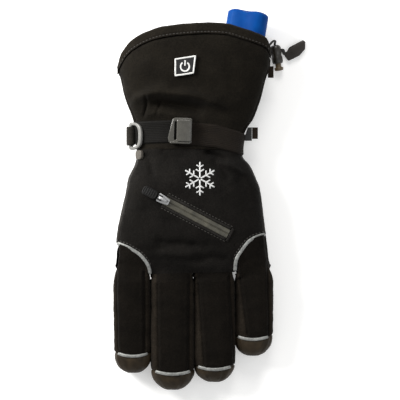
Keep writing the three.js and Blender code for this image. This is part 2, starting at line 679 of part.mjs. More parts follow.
// Ring on the left of the wrist, and the webbing loop that holds its straight side
const ringY = wristY - 2.6;
const sideEdge = (y, u) => {
  const { middle, half, level } = bodySection(bodyAlong(y));
  return new THREE.Vector3(middle + u * half, y, level('seam', u));
};
const loopHalf = loopWidth / 2;
const leftMost = Math.min(...[-loopHalf, 0, loopHalf].map((shift) => sideEdge(ringY + shift, -1).x));
const wristEdge = sideEdge(ringY, -1).setX(leftMost);
const ringMiddle = wristEdge.clone().add(new THREE.Vector3(1, 0, 9.8));
const ringOutline = (inset) => {
  const side = [[-0.5, 0.86], [-0.36, 1], [0, 0.97], [0.3, 0.8], [0.46, 0.5]];
  const whole = [...side, [0.5, 0], ...side.toReversed().map(([u, v]) => [u, -v])];
  return outline(ringReach - 2 * inset, ringLength / 2 - inset, whole).toReversed();
};
const ringFrame = new THREE.Matrix4().makeRotationY(-radians(ringTilt)).setPosition(ringMiddle);
const ringPlate = plate(ringOutline(0), -ringWire / 2, ringWire / 2, [ringOutline(ringWire).toReversed()]);
add('strap_ring', moved(ringPlate, ringFrame), [110, 109, 104], 0.3);
const ringBar = new THREE.Vector3(-(ringReach - ringWire) / 2, 0, 0).applyMatrix4(ringFrame);
const loopHole = ringWire * 0.8 + gap;
const loopTail = new THREE.Vector2(wristEdge.x - 2 * gap, wristEdge.z - 1);
const barAt = new THREE.Vector2(ringBar.x, ringBar.z);
const aroundBar = (radius, from, to, steps) => Array.from({ length: steps + 1 }, (_, k) => {
  const angle = radians(mix(from, to, k / steps));
  return new THREE.Vector2(radius * Math.cos(angle), radius * Math.sin(angle)).add(barAt);
});
const loopOutline = [...aroundBar(loopHole + loopThick, 20, 200, 6),
  new THREE.Vector2(loopTail.x - 2.2, loopTail.y), loopTail, new THREE.Vector2(loopTail.x, loopTail.y + 3)];
const loopSolid = plate(loopOutline, -loopHalf, loopHalf, [aroundBar(loopHole, 360, 45, 7)]);
const sideways = new THREE.Matrix4().makeRotationX(Math.PI / 2).setPosition(0, ringY, 0);
add('ring_loop', moved(loopSolid, sideways), [45, 42, 36], 0.9);

// Bar at the strap's right end and the folded tab that stands out of it
const rightEdge = (y) => sideEdge(y, 1);
const barY = wristY - 0.6;
const tabBlock = (length, width, thick, x, y, z) =>
  plate(shifted(rounded(length, width, thick / 3, 1), x, y), z - thick / 2, z + thick / 2);
const barEdge = rightEdge(barY + barLength / 2);
const barX = barEdge.x + 2 * gap + barWidth / 2;
add('strap_bar', tabBlock(barWidth, barLength, tabThick, barX, barY, barEdge.z + 1), plastic, 0.4);
add('side_tab', tabBlock(tabLength, tabWidth, tabThick, barEdge.x + 3 * gap + barWidth + tabLength / 2,
  barY + (barLength - tabWidth) / 2, barEdge.z + 1), [58, 46, 35], 0.9);

// Pocket zip: its coated tape lies on the back, closed, with the slider at the upper end
const zipX = 0.018 * palmHalf;
const zipY = bodyY(-0.588);
const zipHeading = new THREE.Vector2(1, 0).rotateAround(new THREE.Vector2(), radians(zipTurn));
const zipOutline = placed(rounded(zipLength, zipWidth, 0.8, 1), zipX, zipY, zipTurn);
add('zip_tape', drape(zipOutline, gap, zipThick, 30), [66, 64, 55], 0.5);
const sliderLap = 4.5;        // the slider covers this much of the tape's end
const sliderAt = corner(zipX, zipY).addScaledVector(zipHeading, sliderLap - (zipLength + sliderLength) / 2);
const sliderSeat = seat(sliderAt.x, sliderAt.y, zipTurn + 180, sliderLength, sliderWidth, 2 * gap + zipThick);
const sliderPlan = outline(sliderLength, sliderWidth, [[0.5, 0.5], [-0.1, 0.42], [-0.5, 0.3], [-0.5, -0.3],
  [-0.1, -0.42], [0.5, -0.5]]);
const bridgeWindow = pullBar / 2 + gap;
const pivotX = sliderLength * 0.16;
const pivotZ = sliderThick + 2 * gap + pullBar / 2;
const archLine = [[-0.36, 0], [-0.22, 1], [0.3, 1], [0.44, 0]]
  .map(([u, v]) => new THREE.Vector2(u * sliderLength, sliderThick - 0.2 + v * (bridgeHeight + 0.2)));
const archHole = [[-1.4, 0], [-1.4, 1], [1.4, 1], [1.4, 0]]
  .map(([u, v]) => new THREE.Vector2(pivotX + u * bridgeWindow, sliderThick + v * (4 * gap + pullBar)));
const upright = new THREE.Matrix4().makeRotationX(Math.PI / 2);
const arch = moved(plate(archLine.toReversed(), -bridgeWidth / 2, bridgeWidth / 2), upright)
  .subtract(moved(plate(archHole.toReversed(), -bridgeWidth, bridgeWidth), upright));
add('zip_slider', moved(plate(sliderPlan, 0, sliderThick).add(arch), sliderSeat), [176, 178, 178], 0.25, 0.9);

// Pull tab: a ribbed moulded tab whose steel bar turns in the slider's bridge
const armLength = sliderLength * 0.42;
const gripLength = pullLength - armLength;
const grip = shifted(rounded(gripLength, pullWidth, pullWidth * 0.32), armLength + gripLength / 2, 0);
const armGap = bridgeWidth / 2 + gap;
const forkWidth = 2 * (armGap + pullBar);
const fork = shifted(rounded(armLength + pullBar, forkWidth, 0.2, 1), armLength / 2, 0);
const forkHole = shifted(rounded(armLength - pullBar / 2, 2 * armGap, 0.1, 1), armLength / 2 + pullBar / 4, 0);
const ribs = Array.from({ length: 5 }, (_, k) => plate(
  shifted(rounded(ribPitch * 0.45, pullWidth * 0.7, ribPitch * 0.15, 1), armLength + (k + 1.5) * ribPitch, 0),
  pullThick / 2 - 0.1, pullThick / 2 + ribRise));
const pullBody = ribs.reduce((sum, rib) => sum.add(rib), plate(grip, -pullThick / 2, pullThick / 2)
  .add(plate(fork, -pullBar / 2, pullBar / 2, [forkHole.toReversed()])));
const pullSeat = sliderSeat.clone()
  .multiply(new THREE.Matrix4().makeTranslation(pivotX, 0, pivotZ))
  .multiply(new THREE.Matrix4().makeRotationY(radians(pullTilt)));
add('zip_pull', moved(pullBody, pullSeat), [34, 34, 33], 0.7);

// Cord lock: a barrel on the ground beside the hem. The drawcord crosses it, and its plunger points to -Y.
const lockY = bodyY(0.755);
const lockEdge = rightEdge(lockY);
const lockAt = new THREE.Vector3(lockEdge.x + 1 + lockWidth / 2, lockY, lockHeight / 2);
const lockFrame = new THREE.Matrix4().makeRotationZ(radians(lockTurn)).setPosition(lockAt)
  .multiply(new THREE.Matrix4().makeScale(1, 1, lockHeight / lockWidth));
const lathe = (rows) => solid(new THREE.LatheGeometry(rows.map(([r, y]) => new THREE.Vector2(r, y)), 12));
const stem = lockWidth * 0.27;
const cordAlong = lockLength * 0.16;
const socketEnd = cordAlong - cord / 2 - 2 * gap;
const barrel = lathe([[0, socketEnd], [stem + gap, socketEnd], [stem + gap, -lockLength / 2],
  [lockWidth * 0.42, -lockLength / 2], [lockWidth / 2, -lockLength * 0.4], [lockWidth / 2, lockLength * 0.36],
  [lockWidth * 0.36, lockLength / 2], [0, lockLength / 2]]);
const boreLine = new THREE.LineCurve3(new THREE.Vector3(-lockWidth, cordAlong, 0),
  new THREE.Vector3(lockWidth, cordAlong, 0));
const lockBody = barrel.subtract(rod(boreLine, cord + 5 * gap, 1));
add('cord_lock', moved(lockBody, lockFrame), plastic, 0.4);
const headIn = -lockLength / 2 - gap - plungerTravel;
const headOut = headIn - plungerReach + plungerTravel;
const headRadius = lockWidth * 0.42;
const stemEnd = socketEnd - gap - plungerTravel;
const plunger = lathe([[0, headOut], [headRadius * 0.8, headOut], [headRadius, headOut + 1],
  [headRadius, headIn], [stem, headIn], [stem, stemEnd], [0, stemEnd]]);
add('lock_plunger', moved(plunger, lockFrame), [86, 70, 46], 0.45);

// Drawcord from the hem's eyelet, through the lock, to its end clip
const inLock = (x, y, z) => new THREE.Vector3(x, y, z).applyMatrix4(lockFrame);
const clipAt = new THREE.Vector3(lockAt.x + 17.2, lockAt.y + 3.8, clipThick / 2);
const clipOutline = outline(clipLength, clipWidth, [[0.5, 0.14], [0.47, 0.375], [-0.16, 0.5], [-0.5, 0.11],
  [-0.47, -0.39], [0, -0.5], [0.36, -0.3]]);
const clipFrame = new THREE.Matrix4().makeRotationZ(radians(clipTurn)).setPosition(clipAt);
const cordEnd = new THREE.Vector3(-0.23 * clipLength, 0.11 * clipWidth, 0).applyMatrix4(clipFrame);
const drawcordLine = new THREE.CatmullRomCurve3([
  new THREE.Vector3(lockEdge.x - 4.6, lockAt.y + 2.6, lockHeight * 0.9),
  new THREE.Vector3(lockEdge.x - 2, lockAt.y + 2.4, lockHeight * 0.72),
  inLock(-lockWidth * 0.45, cordAlong, 0), inLock(lockWidth * 0.3, cordAlong, 0),
  inLock(lockWidth * 0.65, cordAlong, -0.2),
  cordEnd.clone().add(new THREE.Vector3(-5.2, -1.2, 0.6)),
  cordEnd,
]);
add('drawcord', rod(drawcordLine, cord, 10), [24, 23, 22], 0.8);
const clipCut = new THREE.CatmullRomCurve3([cordEnd.clone().add(new THREE.Vector3(-12, -2.4, 1.4)),
  cordEnd.clone().add(new THREE.Vector3(-5.2, -1.2, 0.6)), cordEnd.clone().add(new THREE.Vector3(1, 0.2, 0))]);
add('cord_clip', moved(plate(clipOutline, -clipThick / 2, clipThick / 2), clipFrame)
  .subtract(rod(clipCut, cord + 4 * gap, 3)), plastic, 0.45);

// Thin tether from the hem to the far end of the lock
const tetherLine = new THREE.CatmullRomCurve3([
  new THREE.Vector3(lockEdge.x - 1.2, lockAt.y + 7, 13),
  new THREE.Vector3(lockEdge.x + 2.4, lockAt.y + 11, 10.4),
  new THREE.Vector3(lockEdge.x + 4.6, lockAt.y + 11.4, 7), inLock(0, lockLength / 2 + 4 * gap, 0),
]);
add('lock_tether', rod(tetherLine, tetherCord, 7), [24, 23, 22], 0.8);
const anchorY = bodyY(0.575);
const anchorEdge = rightEdge(anchorY);
add('cord_anchor_tab', tabBlock(tabLength, tabWidth, tabThick, anchorEdge.x - gap + tabLength / 2, anchorY,
  anchorEdge.z), [58, 46, 35], 0.9);

// Battery pack: two wrapped cells side by side in one wrap, lying in the gauntlet with one end out
const packRing = (y, inset, sides = 20) => Array.from({ length: sides }, (_, k) => {
  const angle = -2 * Math.PI * k / sides;
  const shift = Math.sign(Math.round(Math.cos(angle) * 1e6)) * cell / 2;
  const x = shift + (cell / 2 - inset) * Math.cos(angle);
  const offCell = Math.abs(x) / (cell / 2) - 1;
  const end = Math.sign(y) * packDip * offCell ** 2 * Math.min(inset, 1);
  return new THREE.Vector3(x, y - end, (cell / 2 - inset) * Math.sin(angle));
});
const packEnd = packLength / 2;
const packSolid = loft([packRing(-packEnd, 2), packRing(2 - packEnd, 0), packRing(packEnd - 2.4, 0),
  packRing(packEnd - 0.6, 0.8), packRing(packEnd, 2.6)]);
const packFrame = new THREE.Matrix4().makeRotationZ(radians(packTurn))
  .setPosition(packX, wristY + cuffLength + packOut - packLength / 2, packZ)
  .multiply(new THREE.Matrix4().makeRotationY(-radians(packRoll)));
add('battery_pack', moved(packSolid, packFrame), [8, 66, 128], 0.45);

export default glove;
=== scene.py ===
# A heated ski glove for the left hand, lying palm down with its battery half out of the gauntlet.
# Sizes are in millimetres in this file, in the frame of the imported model, and metres in Blender.
import math

import bmesh
import bpy
import numpy as np
from mathutils import Matrix, Vector, noise
from mathutils.bvhtree import BVHTree


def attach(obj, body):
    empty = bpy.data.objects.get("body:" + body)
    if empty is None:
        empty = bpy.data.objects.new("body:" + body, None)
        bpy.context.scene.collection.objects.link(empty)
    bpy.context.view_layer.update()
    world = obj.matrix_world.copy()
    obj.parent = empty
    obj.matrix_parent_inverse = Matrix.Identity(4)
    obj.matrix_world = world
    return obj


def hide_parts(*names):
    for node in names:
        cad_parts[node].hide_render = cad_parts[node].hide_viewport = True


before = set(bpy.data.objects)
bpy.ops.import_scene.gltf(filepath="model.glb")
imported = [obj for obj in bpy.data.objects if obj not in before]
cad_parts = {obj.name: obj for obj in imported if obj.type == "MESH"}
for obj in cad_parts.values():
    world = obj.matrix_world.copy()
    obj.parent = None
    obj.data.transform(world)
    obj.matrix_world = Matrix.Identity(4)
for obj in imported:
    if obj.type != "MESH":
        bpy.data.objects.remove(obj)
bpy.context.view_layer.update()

# Camera, floor and studio light: the glove is seen from straight above on a pale floor, under one big
# soft light from the upper left and a weaker one from the right.
PHOTO_MM = 0.87                       # millimetres of the glove to one pixel of the photograph
PHOTO_PIXELS = 400
ORIGIN_PIXEL = (195, 85.57)           # where X and Y are 0 in the photograph
VIEW_HEIGHT, GLOVE_HEIGHT, SENSOR = 1.6, 0.025, 36


def plan(px, py):
    """A point of the 400 pixel photograph as X and Y on the glove"""
    return (px - ORIGIN_PIXEL[0]) * PHOTO_MM, (ORIGIN_PIXEL[1] - py) * PHOTO_MM


camera_data = bpy.data.cameras.new("camera")
camera = bpy.data.objects.new("camera", camera_data)
bpy.context.collection.objects.link(camera)
bpy.context.scene.camera = camera
centre_x, centre_y = plan(PHOTO_PIXELS / 2, PHOTO_PIXELS / 2)
camera.location = (centre_x / 1000, centre_y / 1000, VIEW_HEIGHT)
camera_data.sensor_width = SENSOR
camera_data.lens = SENSOR * (VIEW_HEIGHT - GLOVE_HEIGHT) / (PHOTO_PIXELS * PHOTO_MM / 1000)
camera_data.clip_end = 20


def studio_light(name, place, size, watts, colour):
    """A round soft light aimed at the glove"""
    data = bpy.data.lights.new(name, "AREA")
    data.shape = "DISK"
    data.size = size
    data.energy = watts
    data.color = colour
    lamp = bpy.data.objects.new(name, data)
    lamp.location = place
    aim = Vector((0.0, -0.1, 0.0)) - Vector(place)
    lamp.rotation_euler = aim.to_track_quat("-Z", "Y").to_euler()
    bpy.context.collection.objects.link(lamp)


studio_light("key_light", (-0.95, 0.5, 0.72), 0.5, 16, (1.0, 0.985, 0.96))
studio_light("near_light", (-0.42, 0.16, 0.24), 0.25, 2.6, (1.0, 0.99, 0.97))
studio_light("fill_light", (0.9, -0.5, 1.2), 1.2, 4, (0.97, 0.98, 1.0))
studio_light("back_light", (0.1, 1.0, 0.9), 0.6, 6, (1.0, 0.98, 0.95))

world = bpy.data.worlds.new("studio_air")
world.use_nodes = True
world.node_tree.nodes["Background"].inputs["Color"].default_value = (1.0, 1.0, 1.0, 1.0)
world.node_tree.nodes["Background"].inputs["Strength"].default_value = 0.5
bpy.context.scene.world = world
bpy.context.scene.view_settings.view_transform = "Standard"


WAVE_SHARE = 0.314                    # the wave texture's scale at which one band is one unit wide


class Finish:
    """A node material: every texture is laid out in millimetres of the piece"""

    def __init__(self, name, colour, roughness, **shader):
        self.material = bpy.data.materials.new(name)
        self.material.use_nodes = True
        self.tree = self.material.node_tree
        self.shader = self.tree.nodes["Principled BSDF"]
        self.shader.inputs["Base Color"].default_value = (*colour, 1.0)
        self.shader.inputs["Roughness"].default_value = roughness
        for socket, value in shader.items():
            self.shader.inputs[socket.replace("_", " ")].default_value = value
        self.colour = colour
        self.height = None

    def add(self, kind, links=None, **values):
        node = self.tree.nodes.new(kind)
        for name, value in values.items():
            if hasattr(node, name):
                setattr(node, name, value)
            else:
                node.inputs[name.replace("_", " ")].default_value = value
        for name, source in (links or {}).items():
            self.tree.links.new(source, node.inputs[name])
        return node

    def place(self, kind, scale):
        """Texture coordinates in millimetres: UV follows the cloth, Object the piece as it lies"""
        base = self.add("ShaderNodeTexCoord").outputs[kind]
        unit = 1.0 if kind == "UV" else 1000.0
        sizes = tuple(unit * value for value in scale)
        return self.add("ShaderNodeMapping", {"Vector": base}, Scale=sizes).outputs["Vector"]

    def noise(self, size, detail=3.0):
        """Soft patches about size millimetres across"""
        at = self.place("Object", (1.0 / size,) * 3)
        return self.add("ShaderNodeTexNoise", {"Vector": at}, Scale=1.0, Detail=detail).outputs["Fac"]

    def bands(self, pitch, across):
        """Parallel threads: pitch millimetres from one to the next"""
        at = self.place("UV", (WAVE_SHARE / pitch,) * 3)
        wave = self.add("ShaderNodeTexWave", {"Vector": at}, bands_direction=across, Scale=1.0)
        return wave.outputs["Fac"]

    def grain(self, size):
        """Rounded cells, as in leather"""
        at = self.place("Object", (1.0 / size,) * 3)
        return self.add("ShaderNodeTexVoronoi", {"Vector": at}, feature="F1", Scale=1.0).outputs["Distance"]

    def join(self, first, second, how="MULTIPLY"):
        node = self.add("ShaderNodeMath", operation=how)
        for k, value in enumerate((first, second)):
            if isinstance(value, (int, float)):
                node.inputs[k].default_value = value
            else:
                self.tree.links.new(value, node.inputs[k])
        return node.outputs[0]

    def ramp(self, source, low, high, start=0.0, end=1.0):
        """Turns a texture into values between low and high"""
        node = self.add("ShaderNodeMapRange", {"Value": source})
        for name, value in (("From Min", start), ("From Max", end), ("To Min", low), ("To Max", high)):
            node.inputs[name].default_value = value
        return node.outputs["Result"]

    def shade(self, factor):
        """Multiplies the base colour by a texture"""
        scale = self.add("ShaderNodeVectorMath", operation="SCALE")
        scale.inputs[0].default_value = self.colour
        self.tree.links.new(factor, scale.inputs["Scale"])
        self.tree.links.new(scale.outputs[0], self.shader.inputs["Base Color"])
        return self

    def mottle(self, size, low, high, detail=3.0, start=0.3, end=0.7):
        """Darker and lighter patches of the base colour"""
        return self.shade(self.ramp(self.noise(size, detail), low, high, start, end))

    def tint(self, factor, other):
        """Blends the base colour towards another"""
        node = self.add("ShaderNodeMix", data_type="RGBA")
        node.inputs["Factor"].default_value = 0.5
        self.tree.links.new(factor, node.inputs["Factor"])
        node.inputs["A"].default_value = (*self.colour, 1.0)
        node.inputs["B"].default_value = (*other, 1.0)
        self.tree.links.new(node.outputs["Result"], self.shader.inputs["Base Color"])
        return self

    def rough(self, factor):
        self.tree.links.new(factor, self.shader.inputs["Roughness"])
        return self

    def bump(self, source, millimetres, strength=1.0):
        node = self.add("ShaderNodeBump", {"Height": source}, Strength=strength,
                        Distance=millimetres / 1000.0)
        if self.height:
            self.tree.links.new(self.height, node.inputs["Normal"])
        self.height = node.outputs["Normal"]
        self.tree.links.new(self.height, self.shader.inputs["Normal"])
        return self


floor_finish = Finish("pale_floor", (0.9, 0.9, 0.895), 0.9, Emission_Color=(1.0, 1.0, 0.99, 1.0),
                      Emission_Strength=0.3)
floor_finish.bump(floor_finish.noise(3.0), 0.02)
bpy.ops.mesh.primitive_plane_add(size=6, location=(0, 0, -0.0003))
floor = bpy.context.object
floor.name = "floor"
floor.data.materials.append(floor_finish.material)

# Gauntlet: a back panel and a palm panel of coated nylon over padding, sewn at both sides, with the deep
# fold above the strap where the wrist bends. It is the first stretch of a padded tube, flat where it lies,
# that the wrist and hand carry on.
WRIST_Y = -41.5
CUFF_LENGTH = 93.0
HAND_LENGTH = 124.0
PALM_HALF = 67.5
BODY_DEPTH = 50.0
SQUARENESS = 2.7
SEAM_RISE = 6.0
RIM_DROP = 35.0
CROTCH_Y = WRIST_Y - HAND_LENGTH
FOLD_HEIGHT = 3.4
FOLDS_FROM = 0.6                      # share of the section's height above which folds have their full lift
OFF_GLOVE = 99.0                      # height given to points beside the glove

# The tube's sections from rim to knuckles, as shares: place along, reach to the left and the right, then the
# heights of its widest line, its back and its palm side at left and right.
SECTION_NAMES = ("along", "left", "right", "seam_l", "seam_r", "over_l", "over_r", "under_l", "under_r")
SECTIONS = np.array([
    (1.10, 0.99, 0.97, 0.44, 0.44, 0.98, 0.97, -0.02, -0.02),
    (0.65, 1.00, 0.97, 0.44, 0.44, 0.96, 0.92, -0.02, -0.02),
    (0.48, 0.95, 0.90, 0.44, 0.43, 0.92, 0.88, -0.02, -0.02),
    (0.31, 0.89, 0.84, 0.43, 0.42, 0.86, 0.82, -0.01, -0.01),
    (0.14, 0.80, 0.75, 0.42, 0.40, 0.78, 0.76, 0.04, 0.04),
    (0.04, 0.77, 0.66, 0.42, 0.40, 0.74, 0.72, 0.10, 0.10),
    (-0.06, 0.76, 0.61, 0.42, 0.40, 0.74, 0.72, 0.12, 0.10),
    (-0.16, 0.75, 0.61, 0.45, 0.39, 0.78, 0.74, 0.16, 0.08),
    (-0.23, 0.78, 0.71, 0.51, 0.38, 0.85, 0.76, 0.28, 0.03),
    (-0.31, 0.85, 0.78, 0.59, 0.37, 0.94, 0.78, 0.41, -0.08),
    (-0.40, 0.88, 0.84, 0.66, 0.36, 1.00, 0.79, 0.49, -0.11),
    (-0.65, 0.98, 0.90, 0.69, 0.36, 1.03, 0.80, 0.50, -0.11),
    (-0.78, 1.01, 0.93, 0.65, 0.36, 0.98, 0.78, 0.48, -0.06),
    (-0.90, 1.02, 0.95, 0.57, 0.35, 0.88, 0.74, 0.46, 0.02),
    (-1.00, 0.99, 0.93, 0.50, 0.36, 0.72, 0.62, 0.38, 0.16),
    (-1.04, 0.94, 0.87, 0.49, 0.38, 0.62, 0.52, 0.41, 0.25),
])[::-1]
PLACES = SECTIONS[:, 0]

# Broad folds: across and along of the middle, direction in degrees, half length, half width, lift
FOLDS = (
    (-0.58, 0.35, 26, 0.22, 0.07, 0.8),
    (-0.06, 0.345, -9, 0.42, 0.07, 1.0),
    (-0.14, 0.235, -6, 0.28, 0.10, -1.0),
    (0.28, -0.15, -22, 0.18, 0.06, -0.6),
    (0.46, -0.22, -28, 0.18, 0.06, 0.6),
    (-0.30, -0.80, 4, 0.50, 0.05, -0.35),
    (0.15, -0.90, -5, 0.50, 0.05, -0.35),
)


def ease(value, low, high):
    """Rises smoothly from 0 to 1 between two values"""
    t = np.clip((value - low) / (high - low), 0.0, 1.0)
    return t * t * (3 - 2 * t)


def swell(value):
    """Squares up the sine or cosine of a round section"""
    return np.sign(value) * np.abs(value) ** (2 / SQUARENESS)


def arch(u):
    """Height of a tube's section, between 0 and 1, over a place across it between -1 and 1"""
    return (1 - np.abs(u) ** SQUARENESS) ** (1 / SQUARENESS)


def along_of(y):
    return (y - WRIST_Y) / np.where(y > WRIST_Y, CUFF_LENGTH, HAND_LENGTH)


def share(name, along):
    """Smooth value of one column of the sections"""
    values = SECTIONS[:, SECTION_NAMES.index(name)]
    rank = np.arange(len(PLACES))
    before, after = np.maximum(rank - 1, 0), np.minimum(rank + 1, len(PLACES) - 1)
    slopes = (values[after] - values[before]) / (PLACES[after] - PLACES[before])
    k = np.clip(np.searchsorted(PLACES, along), 1, len(PLACES) - 1)
    span = PLACES[k] - PLACES[k - 1]
    t = np.clip((along - PLACES[k - 1]) / span, 0.0, 1.0)
    return ((2 * t**3 - 3 * t**2 + 1) * values[k - 1] + (t**3 - 2 * t**2 + t) * span * slopes[k - 1]
            + (3 * t**2 - 2 * t**3) * values[k] + (t**3 - t**2) * span * slopes[k])


def half_width(along):
    """X of the tube's middle, and half its width"""
    left, right = -share("left", along) * PALM_HALF, share("right", along) * PALM_HALF
    return (left + right) / 2, (right - left) / 2


def level(name, u, along):
    """Height of the seam, over or under line at a place across between -1 and 1"""
    blend = ease(u, 0.1, 0.75) if name == "under" else (u + 1) / 2
    low, high = share(name + "_l", along), share(name + "_r", along)
    return BODY_DEPTH * (low + (high - low) * blend)


def to_line(x, y, line):
    """Distance from points to a line in plan, signed to its left, and how far along the line they lie"""
    nearest = np.full(np.shape(x), 1e9)
    side = np.zeros(np.shape(x))
    run = np.zeros(np.shape(x))
    steps = [math.dist(a, b) for a, b in zip(line, line[1:])]
    total, walked = sum(steps), 0.0
    for (ax, ay), (bx, by), length in zip(line, line[1:], steps):
        t = np.clip(((x - ax) * (bx - ax) + (y - ay) * (by - ay)) / length**2, 0.0, 1.0)
        away = np.hypot(x - ax - t * (bx - ax), y - ay - t * (by - ay))
        turn = (bx - ax) * (y - ay) - (by - ay) * (x - ax)
        closer = away < nearest
        nearest = np.where(closer, away, nearest)
        side = np.where(closer, np.sign(turn), side)
        run = np.where(closer, (walked + t * length) / total, run)
        walked += length
    return nearest, side, run


def spline(points, count):
    """Points at even steps of parameter on a smooth curve through the given ones"""
    points = np.array(points, float)
    rank = np.linspace(0, len(points) - 1, count)
    k = np.minimum(rank.astype(int), len(points) - 2)
    t = (rank - k)[:, None]
    p0, p1 = points[np.maximum(k - 1, 0)], points[k]
    p2, p3 = points[k + 1], points[np.minimum(k + 2, len(points) - 1)]
    start, stop = (p2 - p0) / 2, (p3 - p1) / 2
    return ((2 * p1 - 2 * p2 + start + stop) * t**3 + (-3 * p1 + 3 * p2 - 2 * start - stop) * t**2
            + start * t + p1)


# Sharp creases seen in the cloth: a line in the photograph's pixels, half width and lift in millimetres
CREASES = (
    (((130, 107), (137, 98), (150, 94.5), (170, 95), (190, 96.5), (205, 100), (222, 107), (231, 111)),
     3.0, 3.5),
    (((150, 103), (170, 104), (185, 106), (206, 112)), 4.2, -4.8),
    (((142, 116), (160, 113), (180, 117), (196, 119)), 2.6, 1.3),
    (((205, 102), (216, 104), (228, 110)), 2.0, 1.0),
    (((146, 95), (147, 106), (144, 119)), 1.2, -2.2),
    (((158, 97), (160, 106), (156, 117)), 1.4, -0.9),
    (((203, 151), (215, 156), (228, 163)), 2.6, -4.0),
    (((216, 160), (229, 166), (243, 174)), 2.4, 2.6),
    (((146, 152), (151, 163), (154, 178)), 2.8, -1.6),
    (((160, 149), (170, 157), (184, 161)), 3.4, -1.1),
    (((212, 158), (222, 168), (230, 182)), 3.4, -1.5),
    (((236, 176), (245, 190), (251, 208)), 4.2, -1.5),
    (((134, 172), (130, 190), (128, 210)), 3.8, -1.3),
    (((142, 206), (160, 214), (178, 226)), 4.2, -0.9),
    (((154, 239), (168, 243), (184, 242), (202, 246)), 3.4, -2.2),
    (((158, 251), (176, 255), (198, 254)), 3.4, 1.1),
    (((194, 259), (212, 256), (230, 260)), 3.2, -2.3),
    (((120, 262), (130, 266), (143, 271)), 3.2, -1.2),
    (((238, 262), (252, 257), (266, 258)), 3.2, -1.4),
)


def lift(x, y):
    """How far folds and creases raise the back at a point in plan"""
    total = np.zeros(np.shape(x))
    for across, along, turn, long, wide, height in FOLDS:
        dx = x - across * PALM_HALF
        dy = y - (WRIST_Y + along * (CUFF_LENGTH if along > 0 else HAND_LENGTH))
        a, b = math.cos(math.radians(turn)), math.sin(math.radians(turn))
        far = ((dx * a + dy * b) / long) ** 2 + ((dy * a - dx * b) / wide) ** 2
        total = total + height * FOLD_HEIGHT * np.exp(-far / PALM_HALF**2)
    for line, wide, height in CREASES:
        away, _, run = to_line(x, y, [plan(*point) for point in line])
        fade = np.clip(run * 6, 0.05, 1) * np.clip((1 - run) * 6, 0.05, 1)
        total = total + height * fade * np.exp(-(away / wide) ** 2)
    return total


def body_point(y, angle, grow=0.0):
    """A point of the tube: angle 0 is the little finger's side, a quarter turn the back"""
    along = along_of(y)
    middle, half = half_width(along)
    u, rise = swell(np.cos(angle)), swell(np.sin(angle))
    x = middle + (half + grow) * u
    seam = level("seam", u, along)
    over = level("over", u, along) - seam + grow
    under = seam - level("under", u + 1.6 * grow / half, along) + grow
    up = rise * over + lift(x, y) * ease(rise, 0.0, FOLDS_FROM)
    return x, seam + np.where(rise > 0, up, rise * under)


def body_section(x, y):
    """Place along and across, seam height and arch of the tube at points in plan, and which lie off it"""
    along = along_of(y)
    middle, half = half_width(along)
    u = np.clip((x - middle) / half, -1, 1)
    return along, u, level("seam", u, along), arch(u), np.abs(x - middle) > half


def past_hand(along):
    """How far the tube's back sinks and its palm side rises past the crotches, where the fingers take over"""
    return 30 * ease(-along, 1.0, 1.07)


def body_top(x, y):
    along, u, seam, rise, outside = body_section(x, y)
    height = seam + rise * (level("over", u, along) - seam) + lift(x, y) * ease(rise, 0.0, FOLDS_FROM)
    return np.where(outside, -OFF_GLOVE, height) - past_hand(along)


def body_under(x, y):
    along, u, seam, rise, outside = body_section(x, y)
    height = seam - rise * (seam - level("under", u, along))
    return np.where(outside, OFF_GLOVE, height) + past_hand(along)


def soft_max(first, second, blend=1.3):
    """The greater of two heights, rounded where they meet"""
    away = np.minimum(np.abs(first - second) / blend, 30)
    return np.maximum(first, second) + blend * np.log1p(np.exp(-away)) * (away < 29)


RIM = spline([(x * PALM_HALF, WRIST_Y + CUFF_LENGTH - drop * RIM_DROP) for x, drop in (
    (-1.12, 1.30), (-1.00, 0.98), (-0.96, 0.76), (-0.81, 0.40), (-0.49, 0.115), (-0.03, 0.00), (0.36, 0.00),
    (0.60, 0.11), (0.90, 0.30), (0.97, 0.50), (1.12, 1.05))], 200)
WRIST_SEAM = WRIST_Y - 14


def rim_y(x):
    return np.interp(x, RIM[:, 0], RIM[:, 1])


def unit(vector):
    return vector / np.maximum(np.linalg.norm(vector, axis=-1, keepdims=True), 1e-9)


def normals_of(points):
    across = np.gradient(points, axis=1)
    down = np.gradient(points, axis=0)
    return unit(np.cross(across, down))


def lengths(points, axis):
    """Distance walked along each row or column of a grid"""
    steps = np.linalg.norm(np.diff(points, axis=axis), axis=2)
    pad = [(0, 0), (0, 0)]
    pad[axis] = (1, 0)
    return np.cumsum(np.pad(steps, pad), axis=axis)


def cloth_uv(grid):
    """Texture coordinates in millimetres that follow the rows and columns of a grid"""
    return np.stack([lengths(grid, 1), lengths(grid, 0)], axis=2).reshape(-1, 2)


def wrinkles(points, size, stretch=(1, 1, 1), seed=0.0):
    """Smooth noise between -1 and 1 at every point"""
    flat = points.reshape(-1, 3) * (np.array(stretch) / size) + seed
    return np.array([noise.noise(Vector(p)) for p in flat]).reshape(points.shape[:2])


